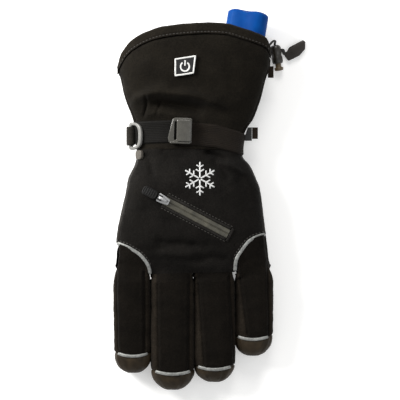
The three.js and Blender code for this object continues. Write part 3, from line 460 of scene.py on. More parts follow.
def mesh_object(name, vertices, faces, finish, uvs=None, smooth=True, tone=None):
    mesh = bpy.data.meshes.new(name)
    points = [tuple(point) for point in np.asarray(vertices) / 1000.0]
    mesh.from_pydata(points, [], [tuple(int(index) for index in face) for face in faces])
    mesh.validate()
    if uvs is not None:
        layer = mesh.uv_layers.new(name="cut")
        order = np.empty(len(mesh.loops), dtype=np.int32)
        mesh.loops.foreach_get("vertex_index", order)
        layer.data.foreach_set("uv", np.asarray(uvs, dtype=np.float32)[order].ravel())
    if tone is not None:
        marks = mesh.color_attributes.new("tone", "FLOAT_COLOR", "POINT")
        marks.data.foreach_set("color", np.repeat(np.asarray(tone, dtype=np.float32), 4))
    mesh.polygons.foreach_set("use_smooth", [smooth] * len(mesh.polygons))
    mesh.materials.append(finish.material)
    obj = bpy.data.objects.new(name, mesh)
    bpy.context.collection.objects.link(obj)
    return obj


def grid_faces(rows, cols, closed=False, base=0):
    wrap = cols if closed else cols - 1
    return [(base + r * cols + c, base + r * cols + (c + 1) % cols, base + (r + 1) * cols + (c + 1) % cols,
             base + (r + 1) * cols + c) for r in range(rows - 1) for c in range(wrap)]


# A turned edge: how far out and down each of its rows lies, and the axis and end of a grid that it is at
TURNED_ROWS = ((0.35, 0.12), (0.6, 0.5), (0.7, 1.2), (0.75, 2.6))
EDGES = {"first": (0, False), "last": (0, True), "left": (1, False), "right": (1, True)}


def fold_edge(points, normals, axis, last):
    """Adds rows or columns that fold one edge inwards"""
    take, second = (-1, -2) if last else (0, 1)
    line, normal = np.take(points, take, axis=axis), np.take(normals, take, axis=axis)
    outward = unit(line - np.take(points, second, axis=axis))
    extra = [line + outward * (0.15 * out) - normal * down for out, down in TURNED_ROWS]
    grown = []
    for old, new in ((points, extra), (normals, [normal] * len(extra))):
        stack = np.stack(new if last else new[::-1], axis=axis)
        grown.append(np.concatenate((old, stack) if last else (stack, old), axis=axis))
    return grown


def off_floor(points, height=0.25, blend=0.35):
    """Keeps points just clear of the floor that the glove lies on"""
    points[..., 2] = soft_max(points[..., 2], height, blend)


def panel(name, points, finish, edges="first last left right", puff=0.5, fine=0.16, relief=None, tone=None,
          draw=1.2, seed=0.0, on_floor=False):
    """A padded panel from a grid of points: puffed, drawn in and turned under at its sewn edges, wrinkled"""
    normals = normals_of(points)
    down, across = lengths(points, 0), lengths(points, 1)
    to_edge = np.full(points.shape[:2], OFF_GLOVE)
    sides = edges.split()
    for side, away in (("first", down), ("last", down[-1:] - down), ("left", across),
                       ("right", across[:, -1:] - across)):
        if side in sides:
            to_edge = np.minimum(to_edge, away)
    shape = puff * (1 - np.exp(-to_edge / 5.0)) - draw * np.exp(-(to_edge / 1.5) ** 2)
    pucker = np.exp(-to_edge / 4.5)
    shape = shape + fine * wrinkles(points, 9.0, seed=seed)
    shape = shape + 0.5 * fine * wrinkles(points, 3.2, seed=seed + 7)
    shape = shape + 2.2 * fine * wrinkles(points, 24.0, (1, 1.5, 1), seed + 13) * (1 - np.exp(-to_edge / 9.0))
    shape = shape + 0.45 * pucker * wrinkles(points, 3.4, seed=seed + 3) * (to_edge > 0.5)
    if relief is not None:
        shape = shape + relief
    moved = points + normals * shape[..., None]
    if on_floor:
        off_floor(moved)
    marks = np.zeros(points.shape[:2]) if tone is None else tone
    uv = np.stack([across, down], axis=2)
    folded, normals = moved, normals_of(moved)
    for side, (axis, last) in EDGES.items():
        if side in sides:
            folded, normals = fold_edge(folded, normals, axis, last)
    extra = [len(TURNED_ROWS) if side in sides else 0 for side in EDGES]
    pad = ((extra[0], extra[1]), (extra[2], extra[3]))
    marks = np.pad(marks, pad, mode="edge")
    uv = np.pad(uv, (*pad, (0, 0)), mode="edge")
    rows, cols = folded.shape[:2]
    return mesh_object(name, folded.reshape(-1, 3), grid_faces(rows, cols), finish, uv.reshape(-1, 2),
                       tone=marks.ravel())


def tube_grid(start, stop, rows, columns, first, last, grow=0.0):
    """A stretch of the tube between two edges in plan, from one angle to another as functions of y"""
    angles = np.linspace(0, 1, 400)
    reference = (start(0.0) + stop(0.0)) / 2
    turn = first(reference) + (last(reference) - first(reference)) * angles
    line_x, line_z = body_point(np.full(400, reference), turn)
    walked = np.concatenate([[0], np.cumsum(np.hypot(np.diff(line_x), np.diff(line_z)))])
    spread = np.interp(np.linspace(0, walked[-1], columns), walked, angles)[None, :]
    down = np.linspace(0, 1, rows)[:, None]
    y = np.full((rows, columns), reference)
    for _ in range(8):
        angle = first(y) + (last(y) - first(y)) * spread
        x, z = body_point(y, angle, grow)
        y = start(x) + (stop(x) - start(x)) * down
    angle = first(y) + (last(y) - first(y)) * spread
    x, z = body_point(y, angle, grow)
    return np.stack([x, y, z], axis=2)


def seam_angle(y, side):
    """Angle of the side seam, a little above the widest line"""
    u = np.where(side > 0, 1.0, -1.0)
    along = along_of(np.asarray(y, float))
    over = level("over", u, along) - level("seam", u, along)
    up = np.arcsin(np.clip(SEAM_RISE / over, 0.01, 0.99) ** (SQUARENESS / 2))
    return up if side > 0 else math.pi - up


def side_seam(side, turns=0):
    """The angle of a side seam as a function of y"""
    return lambda y: seam_angle(y, side) + turns * 2 * math.pi


right_seam, left_seam, right_seam_below = side_seam(1), side_seam(-1), side_seam(1, 1)


def sewn(obj, body, slot, *nodes):
    """Says what body a piece rides on and hides the solids it stands for; slot is not used"""
    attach(obj, body)
    if nodes:
        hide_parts(*nodes)
    return obj


def shell_cloth(name, colour, light=1.9):
    """Tight plain weave with a dull coating, lighter where it is worn and where a panel is marked"""
    cloth = Finish(name, colour, 0.8, Sheen_Weight=0.015, Sheen_Roughness=0.5, Specular_IOR_Level=0.05)
    marks = cloth.add("ShaderNodeVertexColor", layer_name="tone").outputs["Color"]
    worn = cloth.ramp(cloth.noise(16.0, 4.0), 0.78, 1.28, 0.3, 0.7)
    lighter = cloth.ramp(marks, 1.0, light)
    specks = cloth.ramp(cloth.noise(0.9, 2.0), 0.7, 1.45, 0.35, 0.65)
    cloth.shade(cloth.join(cloth.join(worn, specks), lighter))
    cloth.rough(cloth.ramp(cloth.noise(2.2), 0.7, 0.88))
    threads = cloth.join(cloth.bands(0.62, "X"), cloth.bands(0.62, "Y"), "MAXIMUM")
    cloth.bump(threads, 0.09, 0.7)
    cloth.bump(cloth.noise(1.1, 2.0), 0.1, 0.6)
    return cloth


CLOTH = (0.0060, 0.0049, 0.0034)
gauntlet_cloth = shell_cloth("gauntlet_cloth", CLOTH)


def flat_y(value):
    return lambda x: np.full(np.shape(x), value) if np.ndim(x) else value


HEM, HEM_GAP = 8.5, 0.15


def below_rim(depth):
    """A line round the glove some way below the rim, as a function of x"""
    return lambda x: rim_y(x) - depth


back_points = tube_grid(below_rim(HEM + HEM_GAP), flat_y(WRIST_SEAM + 0.05), 104, 150, right_seam, left_seam)
gauntlet_back = panel("gauntlet_back_panel", back_points, gauntlet_cloth, "first left right", puff=0.5,
                      fine=0.28)
sewn(gauntlet_back, "glove", "shell_cloth", "gauntlet_back")

under_points = tube_grid(below_rim(HEM + HEM_GAP), flat_y(WRIST_SEAM + 0.05), 64, 110, left_seam,
                         right_seam_below)
gauntlet_palm = panel("gauntlet_palm_panel", under_points, gauntlet_cloth, "first left right", puff=0.3,
                      seed=20, on_floor=True)
sewn(gauntlet_palm, "glove", "shell_cloth", "gauntlet_palm")

# Hem: the shell folded over the rim and down inside, held by one row of stitches near its lower edge.
HEM_SWELL = 0.7
hem_finish = shell_cloth("hem_cloth", (0.0085, 0.0070, 0.0050), light=1.0)
HEM_TOP, HEM_ROWS, HEM_COLUMNS, HEM_WALL = 0.9, 12, 260, 3.4


def whole_turn(y):
    return np.zeros(np.shape(y)) + 2 * math.pi


hem_outer = tube_grid(below_rim(HEM_TOP), below_rim(HEM), HEM_ROWS, HEM_COLUMNS, flat_y(0.0), whole_turn,
                      HEM_SWELL)[:, :-1]
hem_outer[0] += (hem_outer[0] - hem_outer[1]) * 0.1
hem_inner = tube_grid(below_rim(HEM_TOP), below_rim(HEM), 5, HEM_COLUMNS, flat_y(0.0), whole_turn,
                      -HEM_WALL)[:, :-1]
over_rim = [hem_inner[0] * (1 - t) + hem_outer[0] * t + np.array((0, 1.7 * math.sin(math.pi * t), 0))
            for t in (0.12, 0.3, 0.5, 0.7, 0.88)]
under_edge = [hem_outer[-1] * (1 - t) + hem_inner[-1] * t for t in (0.15, 0.4)]
hem_grid = np.concatenate([hem_inner[::-1], np.stack(over_rim), hem_outer, np.stack(under_edge)])
hem_normals = normals_of(hem_grid)
hem_wave = wrinkles(hem_grid, 6.0, seed=4) * 0.3 + wrinkles(hem_grid, 2.4, seed=9) * 0.14
stitch_row = np.zeros(hem_grid.shape[:2])
stitch_row[18:21, :] = np.array((-0.2, -0.45, -0.2))[:, None]      # the row of stitches draws the hem in
hem_grid = hem_grid + hem_normals * (hem_wave + stitch_row)[..., None]
off_floor(hem_grid, 0.2, 0.3)
hem = mesh_object("hem_fold", hem_grid.reshape(-1, 3), grid_faces(*hem_grid.shape[:2], closed=True),
                  hem_finish, cloth_uv(hem_grid))
sewn(hem, "glove", "hem_binding", "gauntlet_hem")

# Lining: brushed dark cloth all the way down inside the gauntlet and hand, seen only from the mouth.
lining_finish = Finish("brushed_lining", (0.008, 0.008, 0.0085), 0.95, Sheen_Weight=0.03,
                       Specular_IOR_Level=0.08)
lining_finish.mottle(2.0, 0.6, 1.5, 4.0, 0.0, 1.0)
lining_finish.bump(lining_finish.noise(0.9, 3.0), 0.4)
LINING_TOP, LINING_END, LINING_IN = 3.0, -150.0, 3.8
lining_grid = tube_grid(below_rim(LINING_TOP), flat_y(LINING_END), 60, 90, flat_y(0.0), whole_turn,
                        -LINING_IN)[:, :-1]
lining_grid[..., 2] = np.maximum(lining_grid[..., 2], 3.2)
lining_end = lining_grid[-1:].mean(axis=1, keepdims=True) * np.ones((1, lining_grid.shape[1], 1))
lining_grid = np.concatenate([lining_grid, lining_end * 0.5 + lining_grid[-1:] * 0.5])
lining = mesh_object("lining", lining_grid.reshape(-1, 3), grid_faces(*lining_grid.shape[:2], closed=True),
                     lining_finish, lining_grid.reshape(-1, 3)[:, :2])
sewn(lining, "glove", "shell_cloth")

# Back of the hand: one padded panel from the wrist to the knuckles, piped along the curved seams that join
# it to the index and little finger. The middle and ring fingers' backs run on from it.
hand_cloth = shell_cloth("hand_cloth", (0.0050, 0.0044, 0.0038))

# The fingers that it runs into: width, depth, reach from the crotch, heights of the middle at root and tip,
# lean and cap length, with the middle's X worked out below. FORM holds shares: place along a finger, its
# width and depth there, and how far its middle is raised.
SLITS = (1.4, 1.4, 2.8)
FINGERS = {
    "index": [30.6, 27.0, 85.5, 25.5, 12.0, 0.5, 17.4],
    "middle": [36.0, 29.0, 100.2, 25.0, 12.9, 0.5, 16.6],
    "ring": [33.6, 28.0, 93.4, 22.0, 12.4, 0.5, 13.8],
    "little": [31.2, 26.0, 70.6, 18.8, 11.6, -1.0, 17.0],
}
edge_x = -1.035 * PALM_HALF
SLIT_X = []
for place, sizes in enumerate(FINGERS.values()):
    sizes.append(edge_x + sizes[0] / 2)
    edge_x += sizes[0] + (SLITS[place] if place < 3 else 0)
    if place < 3:
        SLIT_X.append(edge_x - SLITS[place] / 2)
FORM = np.array([(-0.14, 0.88, 0.50, 0.10), (0.05, 0.98, 0.92, 0.04), (0.40, 1.0, 1.0, 0.0),
                 (0.80, 1.0, 0.96, 0.0)])


def finger_middle(name, y):
    """Middle, half width and half height of a finger at a place along it"""
    width, depth, reach, root, tip, lean, _, x = FINGERS[name]
    along = (CROTCH_Y - y) / reach
    straight = 1 - 0.5 * width / reach
    wide, tall, raised = (np.interp(along, FORM[:, 0], FORM[:, k]) for k in (1, 2, 3))
    turn = np.arcsin(np.clip((along - straight) / (1 - straight), 0.0, 0.999))
    half = wide * width / 2 * np.cos(turn)
    height = tall * depth / 2 * np.cos(turn) ** 0.8
    centre_z = tip + (root - tip) * np.maximum(1 - along, 0) ** 1.5 + raised * depth
    return x + lean * np.maximum(along, 0) ** 2, half, centre_z, height


def finger_level(name, x, y, up):
    """Height of a finger's back, or of its palm side where up is -1"""
    middle, half, centre_z, height = finger_middle(name, y)
    u = np.clip((x - middle) / np.maximum(half, 0.01), -1, 1)
    here = (np.abs(x - middle) < half) & (y < CROTCH_Y + 0.14 * FINGERS[name][2])
    return np.where(here, centre_z + up * height * arch(u), -OFF_GLOVE * up)


def seam_in_plan(rows, last):
    """A curved seam across the knuckles, from shares across and along the hand to a crotch"""
    points = [(x * PALM_HALF, WRIST_Y + along * HAND_LENGTH) for x, along in rows]
    return spline(points + [last], 60)


INDEX_SEAM = seam_in_plan(((-1.12, -0.75), (-0.955, -0.774), (-0.835, -0.80), (-0.695, -0.85),
                           (-0.60, -0.918)), (SLIT_X[0], CROTCH_Y + 2))
LITTLE_SEAM = seam_in_plan(((1.12, -0.70), (0.87, -0.712), (0.70, -0.75), (0.585, -0.825), (0.525, -0.885)),
                           (SLIT_X[2], CROTCH_Y + 4))
HAND_END = np.vstack([INDEX_SEAM, [(SLIT_X[1], CROTCH_Y + 3)], LITTLE_SEAM[::-1]])


def hand_end_y(x):
    return np.interp(x, HAND_END[:, 0], HAND_END[:, 1])


hand_points = tube_grid(flat_y(WRIST_SEAM), hand_end_y, 130, 160, right_seam, left_seam)
for finger in FINGERS:
    over = finger_level(finger, hand_points[..., 0], hand_points[..., 1], 1)
    hand_points[..., 2] = soft_max(hand_points[..., 2], over)
hand_back = panel("hand_back_panel", hand_points, hand_cloth, "left right", puff=0.5, fine=0.3, seed=2)
sewn(hand_back, "glove", "shell_cloth", "hand_back")

# Palm: grained leather from the heel of the hand to the fingers, arched over the folded thumb.
def leather(name, colour, rough=0.5, size=1.3):
    """Grained leather: small rounded cells, broad rubbed patches, duller in the grooves"""
    hide = Finish(name, colour, rough, Specular_IOR_Level=0.16)
    hide.mottle(9.0, 0.65, 1.45, 4.0)
    hide.rough(hide.ramp(hide.noise(5.0), rough - 0.12, rough + 0.14))
    hide.bump(hide.grain(size), 0.16, 0.7)
    hide.bump(hide.noise(3.5, 4.0), 0.3, 0.6)
    return hide


palm_leather = leather("palm_leather", (0.0088, 0.0072, 0.0056))
palm_points = tube_grid(flat_y(WRIST_SEAM), hand_end_y, 80, 120, left_seam, right_seam_below)
for finger in FINGERS:
    under = finger_level(finger, palm_points[..., 0], palm_points[..., 1], -1)
    lower = -soft_max(-palm_points[..., 2], -under)
    below = palm_points[..., 2] < level("seam", 0.0, along_of(palm_points[..., 1]))
    palm_points[..., 2] = np.where(below, lower, palm_points[..., 2])
palm = panel("palm_panel", palm_points, palm_leather, "left right", puff=0.3, seed=31, on_floor=True)
sewn(palm, "glove", "palm_leather", "palm")

# Fingers: a cloth back, side walls of a greyer cloth, a leather palm side and a gathered leather cap over
# the tip. Seams run down both sides of each back, as the photograph shows them.
CAP_SAG = 3.4
INSIDE_EDGE, ROOT_BLEND = 2.0, 17.0   # how far inside the hand's edge an outer side starts, and its run
SIDE_ANGLE = 0.08                     # where a finger's back and palm panels meet, in radians off the middle
FINGER_SWELL = {"index": 0.8, "middle": 1.0, "ring": 1.5, "little": 1.3}
SEAM_LINES = {
    "index": (((144.5, 272), (144.5, 350)), ((127, 208), (119.5, 243), (117, 270), (118, 350))),
    "middle": (((158, 284), (158.5, 368)), ((189, 284), (188.5, 372))),
    "ring": (((198.5, 284), (204.5, 366)), ((229, 277), (234, 366))),
    "little": (((240, 278), (247.5, 334)), ((267, 262), (268.5, 334))),
}


def cap_seam_y(name, x, shift=0.0):
    width, _, reach, _, _, lean, cap, middle = FINGERS[name]
    u = (x - middle - lean) / (width / 2)
    return CROTCH_Y - reach + cap - CAP_SAG * (0.5 - u * u) - shift


def across_finger(name, side, y):
    """X of a finger's section: the outer fingers' outer sides start just inside the hand's edge"""
    middle, half = finger_middle(name, y)[:2]
    half = half + FINGER_SWELL[name] * ease(CROTCH_Y + 8 - y, 0.0, 16.0)
    if name in ("index", "little"):
        body_middle, body_half = half_width(along_of(y))
        hand_edge = body_half - INSIDE_EDGE - np.abs(middle - body_middle)
        blend = ease(y, CROTCH_Y, CROTCH_Y + ROOT_BLEND)
        outer = half + (hand_edge - half) * blend
        half = np.where(side * (middle - body_middle) > 0, outer, half)
    return middle + half * side


def finger_grid(name, start, stop, rows, columns, first, last):
    """A stretch of a finger between two edges in plan: angle 0 is the little finger's side"""
    spread = np.linspace(first, last, columns)[None, :]
    side, rise = swell(np.cos(spread)), swell(np.sin(spread))
    down = np.linspace(0, 1, rows)[:, None]
    y = np.full((rows, columns), CROTCH_Y - 30.0)
    for _ in range(8):
        x = across_finger(name, side, y)
        y = start(x) + (stop(x) - start(x)) * down
    centre_z, height = finger_middle(name, y)[2:]
    x = across_finger(name, side, y)
    z = centre_z + height * rise
    if last <= math.pi:
        z = soft_max(z, body_top(x, np.maximum(y, CROTCH_Y - 9)))
    else:
        z = -soft_max(-z, -body_under(x, np.maximum(y, CROTCH_Y - 9)))
    return np.stack([x, y, z], axis=2)


finger_cloth = shell_cloth("finger_cloth", (0.0040, 0.0031, 0.0022), light=2.6)
finger_leather = leather("finger_leather", (0.0085, 0.0068, 0.0052))
cap_leather = leather("cap_leather", (0.0215, 0.0150, 0.0082), 0.55, 0.9)
finger_backs = []
for order, finger in enumerate(FINGERS):
    width, _, reach = FINGERS[finger][:3]
    straight_y = CROTCH_Y - reach + 0.5 * width

    def to_cap(x, finger=finger):
        return cap_seam_y(finger, x, -0.1)

    rows = int((reach - 8) / 0.95)
    back_grid = finger_grid(finger, hand_end_y, to_cap, rows, 64, SIDE_ANGLE, math.pi - SIDE_ANGLE)
    grid_x, grid_y = back_grid[..., 0], back_grid[..., 1]
    groove = np.zeros(grid_x.shape)
    wall = np.zeros(grid_x.shape)
    middle_x = FINGERS[finger][-1]
    for line in SEAM_LINES[finger]:
        away, side, run = to_line(grid_x, grid_y, [plan(*point) for point in line])
        inside = (run > 0.002) | (away < 1.5)
        groove = groove - 1.0 * np.exp(-(away / 0.9) ** 2) * inside
        groove = groove + 0.35 * np.exp(-((away - 2.4) / 1.3) ** 2)
        groove = groove + 0.30 * np.exp(-(away / 4.0) ** 2) * wrinkles(back_grid, 3.0, (1, 1, 1), order + 11)
        line_x = np.interp(-grid_y, [-plan(*point)[1] for point in line], [plan(*point)[0] for point in line])
        outer = (grid_x - line_x) * np.sign(line_x - middle_x)
        wall = np.maximum(wall, ease(outer, 0.3, 1.2))
    rolls = 0.35 * wrinkles(back_grid, 13.0, (0.5, 1.6, 0.5), order + 17)
    back = panel(finger + "_back_panel", back_grid, finger_cloth, "last left right", puff=0.95, fine=0.22,
                 relief=groove + rolls, tone=wall, seed=40 + order, draw=0.15)
    sewn(back, "glove", "shell_cloth", finger + "_back")
    finger_backs.append(back)
    palm_grid = finger_grid(finger, hand_end_y, to_cap, rows // 2, 56, math.pi - SIDE_ANGLE,
                            2 * math.pi + SIDE_ANGLE)
    creased = -0.8 * sum(np.exp(-((palm_grid[..., 1] - CROTCH_Y + at * reach) / 2.2) ** 2)
                         for at in (0.22, 0.5))
    under = panel(finger + "_palm_panel", palm_grid, finger_leather, "first last left right", puff=0.8,
                  relief=creased, seed=50 + order, on_floor=True, draw=0.15)
    sewn(under, "glove", "palm_leather", finger + "_palm")

    def from_cap(x, finger=finger):
        return cap_seam_y(finger, x, 0.1)

    tip_y = CROTCH_Y - reach
    cap_swell = 1 + 1.2 * FINGER_SWELL[finger] / width
    count = 34
    turn = np.linspace(0, 1, count)[:, None]
    spread = np.linspace(0, 2 * math.pi, 121)[None, :]
    side, rise = swell(np.cos(spread)), swell(np.sin(spread))
    y = np.full((count, 121), straight_y)
    for _ in range(8):
        middle, half, centre_z, height = finger_middle(finger, y)
        x = middle + half * cap_swell * side
        start_y = from_cap(x)
        y = tip_y + 0.01 + (start_y - tip_y) * np.cos(turn * math.pi / 2)
    middle, half, centre_z, height = finger_middle(finger, y)
    x, z = middle + half * cap_swell * side, centre_z + height * rise
    cap_grid = np.stack([x, y, z], axis=2)
    down = lengths(cap_grid, 0)
    pleats = wrinkles(np.stack([np.cos(spread) * np.ones_like(y) * 4.2, down * 0.05,
                                np.sin(spread) * np.ones_like(y) * 4.2], axis=2), 1.0, seed=order * 3.0)
    ribs = np.cos(spread * 15 + 3 * wrinkles(cap_grid, 9.0, seed=order)) * 0.28
    fade = np.exp(-down / (reach * 0.11)) * ease(down, 0.0, 1.2)
    shape = (pleats * 0.9 + ribs) * fade + 0.35 * wrinkles(cap_grid, 6.5, seed=5 + order)
    shape = shape + 0.45 * (1 - np.exp(-down / 3)) - 0.8 * np.exp(-(down / 1.1) ** 2)
    cap_normals = normals_of(cap_grid)
    cap_normals[-1] = (0, -1, 0)
    cap_grid = cap_grid + cap_normals * (shape * ease(half * np.ones_like(y), 1.0, 5.0))[..., None]
    off_floor(cap_grid)
    cap_grid = cap_grid[:, :-1]
    lip = cap_grid[:1] - cap_normals[:1, :-1] * 2.4 + np.array((0, -0.3, 0))
    pole = cap_grid[-1:].mean(axis=1, keepdims=True) * np.ones((1, cap_grid.shape[1], 1))
    cap_grid = np.concatenate([lip, cap_grid, pole])
    cap = mesh_object(finger + "_gathered_cap", cap_grid.reshape(-1, 3),
                      grid_faces(*cap_grid.shape[:2], closed=True), cap_leather, cloth_uv(cap_grid))
    sewn(cap, "glove", "tip_leather", finger + "_cap")

# Piping: narrow silver-grey reflective strips sewn into the seams, along the knuckles of the index and
# little finger and across the back of each fingertip. It is a folded tape over a thin cord.
piping_finish = Finish("reflective_piping", (0.23, 0.235, 0.225), 0.42, Metallic=0.25)
piping_finish.mottle(2.5, 0.62, 1.25)
piping_finish.bump(piping_finish.bands(0.5, "DIAGONAL"), 0.06, 0.5)


def top(x, y):
    """Height of the glove's back, fingers and all"""
    x, y = np.asarray(x, float), np.asarray(y, float)
    height = body_top(x, np.maximum(y, CROTCH_Y - 9))
    for name in FINGERS:
        height = soft_max(height, finger_level(name, x, y, 1))
    return height


cloth_tree = bmesh.new()
for cloth_piece in [hem, gauntlet_back, hand_back] + finger_backs:
    cloth_tree.from_mesh(cloth_piece.data)
cloth_tree = BVHTree.FromBMesh(cloth_tree)


def on_cloth(x, y):
    """Height of the sewn back panels at points in plan"""
    height = np.array(top(x, y), float)
    flat_x, flat_y_, flat = np.ravel(x), np.ravel(y), height.ravel()
    for k in range(len(flat)):
        hit = cloth_tree.ray_cast((flat_x[k] / 1000, flat_y_[k] / 1000, 0.2), (0, 0, -1))[0]
        if hit is not None:
            flat[k] = hit.z * 1000
    return flat.reshape(np.shape(height))


def normal_at(x, y, ground):
    """Upward normal of a surface given by its height in plan"""
    step = 0.9
    slope_x = (ground(x + step, y) - ground(x - step, y)) / (2 * step)
    slope_y = (ground(x, y + step) - ground(x, y - step)) / (2 * step)
    return unit(np.stack([-slope_x, -slope_y, np.ones_like(slope_x)], axis=-1))


def capped(ring):
    """Points, faces and texture coordinates of a closed band with a face over each end"""
    rows, cols = ring.shape[:2]
    faces = grid_faces(rows, cols, closed=True)
    faces += [tuple(range(cols))[::-1], tuple((rows - 1) * cols + k for k in range(cols))]
    return ring.reshape(-1, 3), faces, cloth_uv(ring)


def strip_parts(line, width, thick, base=0.3, columns=9, wavy=0.0, seed=0.0, crown_power=2.6, closed=False,
                dip=0.0, surface=on_cloth):
    """Points and faces of a strip on the glove's back along a line in plan, with a rounded top"""
    line = np.asarray(line, float)
    if closed:
        heading = unit(np.roll(line, -1, axis=0) - np.roll(line, 1, axis=0))
    else:
        heading = unit(np.gradient(line, axis=0))
    across = np.stack([-heading[:, 1], heading[:, 0]], axis=1)
    place = np.linspace(-0.5, 0.5, columns)
    x = line[:, :1] + across[:, :1] * place * width
    y = line[:, 1:] + across[:, 1:] * place * width
    ground = np.stack([x, y, surface(x, y)], axis=2)
    normal = normal_at(x, y, surface)
    crown = 0.3 + 0.7 * (1 - np.abs(place * 2) ** crown_power) ** 0.5
    rise = base + thick * crown[None, :] * np.ones_like(x)
    rise = rise - dip * np.exp(-(place * width / 0.45) ** 2)[None, :]
    if wavy:
        rise = rise + wavy * wrinkles(ground, 4.0, seed=seed)
    upper = ground + normal * rise[..., None]
    lower = ground[:, ::-1] + normal[:, ::-1] * (base * 0.2)
    ring = np.concatenate([upper, lower], axis=1)
    if closed:
        ring = np.concatenate([ring, ring[:1]], axis=0)
    points, faces, uv = capped(ring)
    return points, faces[:-2] if closed else faces, uv


def joined(name, parts, finish):
    """One mesh from several sets of points, faces and texture coordinates"""
    vertices, faces, uvs, base = [], [], [], 0
    for points, some_faces, uv in parts:
        vertices.append(points)
        uvs.append(uv)
        faces += [tuple(index + base for index in face) for face in some_faces]
        base += len(points)
    return mesh_object(name, np.vstack(vertices), faces, finish, np.vstack(uvs))


for label, seam, side_end in (("index", INDEX_SEAM, 66.4), ("little", LITTLE_SEAM, 59.8)):
    inside = seam[np.abs(seam[:, 0]) < side_end]
    strip = joined(label + "_knuckle_piping",
                   [strip_parts(inside[:-2], 3.0, 1.1, wavy=0.12, seed=3, surface=top)], piping_finish)
    sewn(strip, "glove", "piping", label + "_piping")
for finger in FINGERS:
    width, _, _, _, _, lean, _, middle_x = FINGERS[finger]
    xs = np.linspace(middle_x + lean - width * 0.40, middle_x + lean + width * 0.40, 44)
    line = np.stack([xs, cap_seam_y(finger, xs)], axis=1)
    strip = joined(finger + "_tip_piping_strip",
                   [strip_parts(line, 2.6, 1.0, wavy=0.12, seed=8, surface=top)], piping_finish)
    sewn(strip, "glove", "piping", finger + "_tip_piping")

# Thumb: a leather tube folded flat under the palm, sewn on at its root, with a gathered cap like the
# fingers'.
THUMB_WIDTH, THUMB_DEPTH, THUMB_CAP, THUMB_STEPS = 33.0, 23.0, 17.0, 140

# Place of the middle across, along and up, then the tube's width and depth there, all as shares
THUMB_ROWS = np.array([(-0.52, -0.32, 1.45, 0.60, 0.75), (-0.58, -0.42, 1.20, 0.90, 0.95),
                       (-0.60, -0.56, 0.72, 1.00, 1.00), (-0.49, -0.66, 0.50, 1.00, 0.98),
                       (-0.30, -0.77, 0.48, 1.00, 0.96), (-0.13, -0.82, 0.47, 0.97, 0.94)])
thumb_points = np.stack([THUMB_ROWS[:, 0] * PALM_HALF, WRIST_Y + THUMB_ROWS[:, 1] * HAND_LENGTH,
                         THUMB_ROWS[:, 2] * THUMB_DEPTH], axis=1)
thumb_tip = np.array((0.04 * PALM_HALF, WRIST_Y - 0.87 * HAND_LENGTH, 0.46 * THUMB_DEPTH))
thumb_line = spline(np.vstack([thumb_points, thumb_tip]), THUMB_STEPS)
thumb_sizes = spline(np.vstack([THUMB_ROWS[:, 3:], (0.97, 0.94)]), THUMB_STEPS)
thumb_step = np.arange(THUMB_STEPS)
thumb_left = np.linalg.norm(thumb_line - thumb_tip, axis=1)
tip_reach = np.linalg.norm((thumb_tip - thumb_points[-1])[:2])
tip_turn = np.arcsin(np.clip(1 - thumb_left / tip_reach, 0, 0.998)) * (thumb_step > 90)
thumb_heading = unit(np.gradient(thumb_line, axis=0) * (1, 1, 0))
thumb_side = np.stack([-thumb_heading[:, 1], thumb_heading[:, 0], np.zeros(THUMB_STEPS)], axis=1)
spread = np.linspace(0, 2 * math.pi, 81)[:-1]
thumb_half = (thumb_sizes[:, 0] * THUMB_WIDTH / 2 * np.cos(tip_turn) - 0.3)[:, None, None]
thumb_high = (thumb_sizes[:, 1] * THUMB_DEPTH / 2 * np.cos(tip_turn) ** 0.8 - 0.3)[:, None, None]
thumb_across = thumb_side[:, None, :] * thumb_half * swell(np.cos(spread))[None, :, None]
thumb_up = np.array((0, 0, 1.0)) * thumb_high * swell(np.sin(spread))[None, :, None]
thumb_grid = thumb_line[:, None, :] + thumb_across + thumb_up
ceiling = body_under(thumb_grid[..., 0], thumb_grid[..., 1]) - 0.8
thumb_grid[..., 2] = np.where(thumb_grid[..., 2] > ceiling, ceiling, thumb_grid[..., 2])
off_floor(thumb_grid)
cut_at = int(np.argmin(np.abs(thumb_left - THUMB_CAP)))
thumb_relief = 0.25 * wrinkles(thumb_grid, 6.0, seed=61) * (thumb_half[..., 0] > 3)
pleat = np.cos(spread * 15)[None, :] * 0.4 * np.exp(-np.abs(thumb_step - cut_at) / 9.0)[:, None]
thumb_relief = thumb_relief + pleat * (thumb_step > cut_at)[:, None]
thumb_relief = thumb_relief - 0.8 * np.exp(-((thumb_step - cut_at) / 1.6) ** 2)[:, None]
thumb_centre = thumb_grid.mean(axis=1, keepdims=True)
thumb_grid = thumb_grid + unit(thumb_grid - thumb_centre) * thumb_relief[..., None]
thumb_grid[..., 2] = np.maximum(thumb_grid[..., 2], 0.15)


def drawn_together(ring):
    """Points and faces of a closed band whose ends run together in a middle point"""
    rows, cols = ring.shape[:2]
    last = rows * cols
    faces = grid_faces(rows, cols, closed=True)
    faces += [(last, (k + 1) % cols, k) for k in range(cols)]
    faces += [(last + 1, last - cols + k, last - cols + (k + 1) % cols) for k in range(cols)]
    return np.vstack([ring.reshape(-1, 3), ring[0].mean(axis=0), ring[-1].mean(axis=0)]), faces


for name, rows_kept, finish, slot, node in (
        ("thumb_tube", slice(0, cut_at + 1), palm_leather, "palm_leather", "thumb"),
        ("thumb_gathered_cap", slice(cut_at, THUMB_STEPS), cap_leather, "tip_leather", "thumb_cap")):
    part = thumb_grid[rows_kept]
    uv = np.vstack([cloth_uv(part), (0, 0), (0, 0)])
    sewn(mesh_object(name, *drawn_together(part), finish, uv), "glove", slot, node)

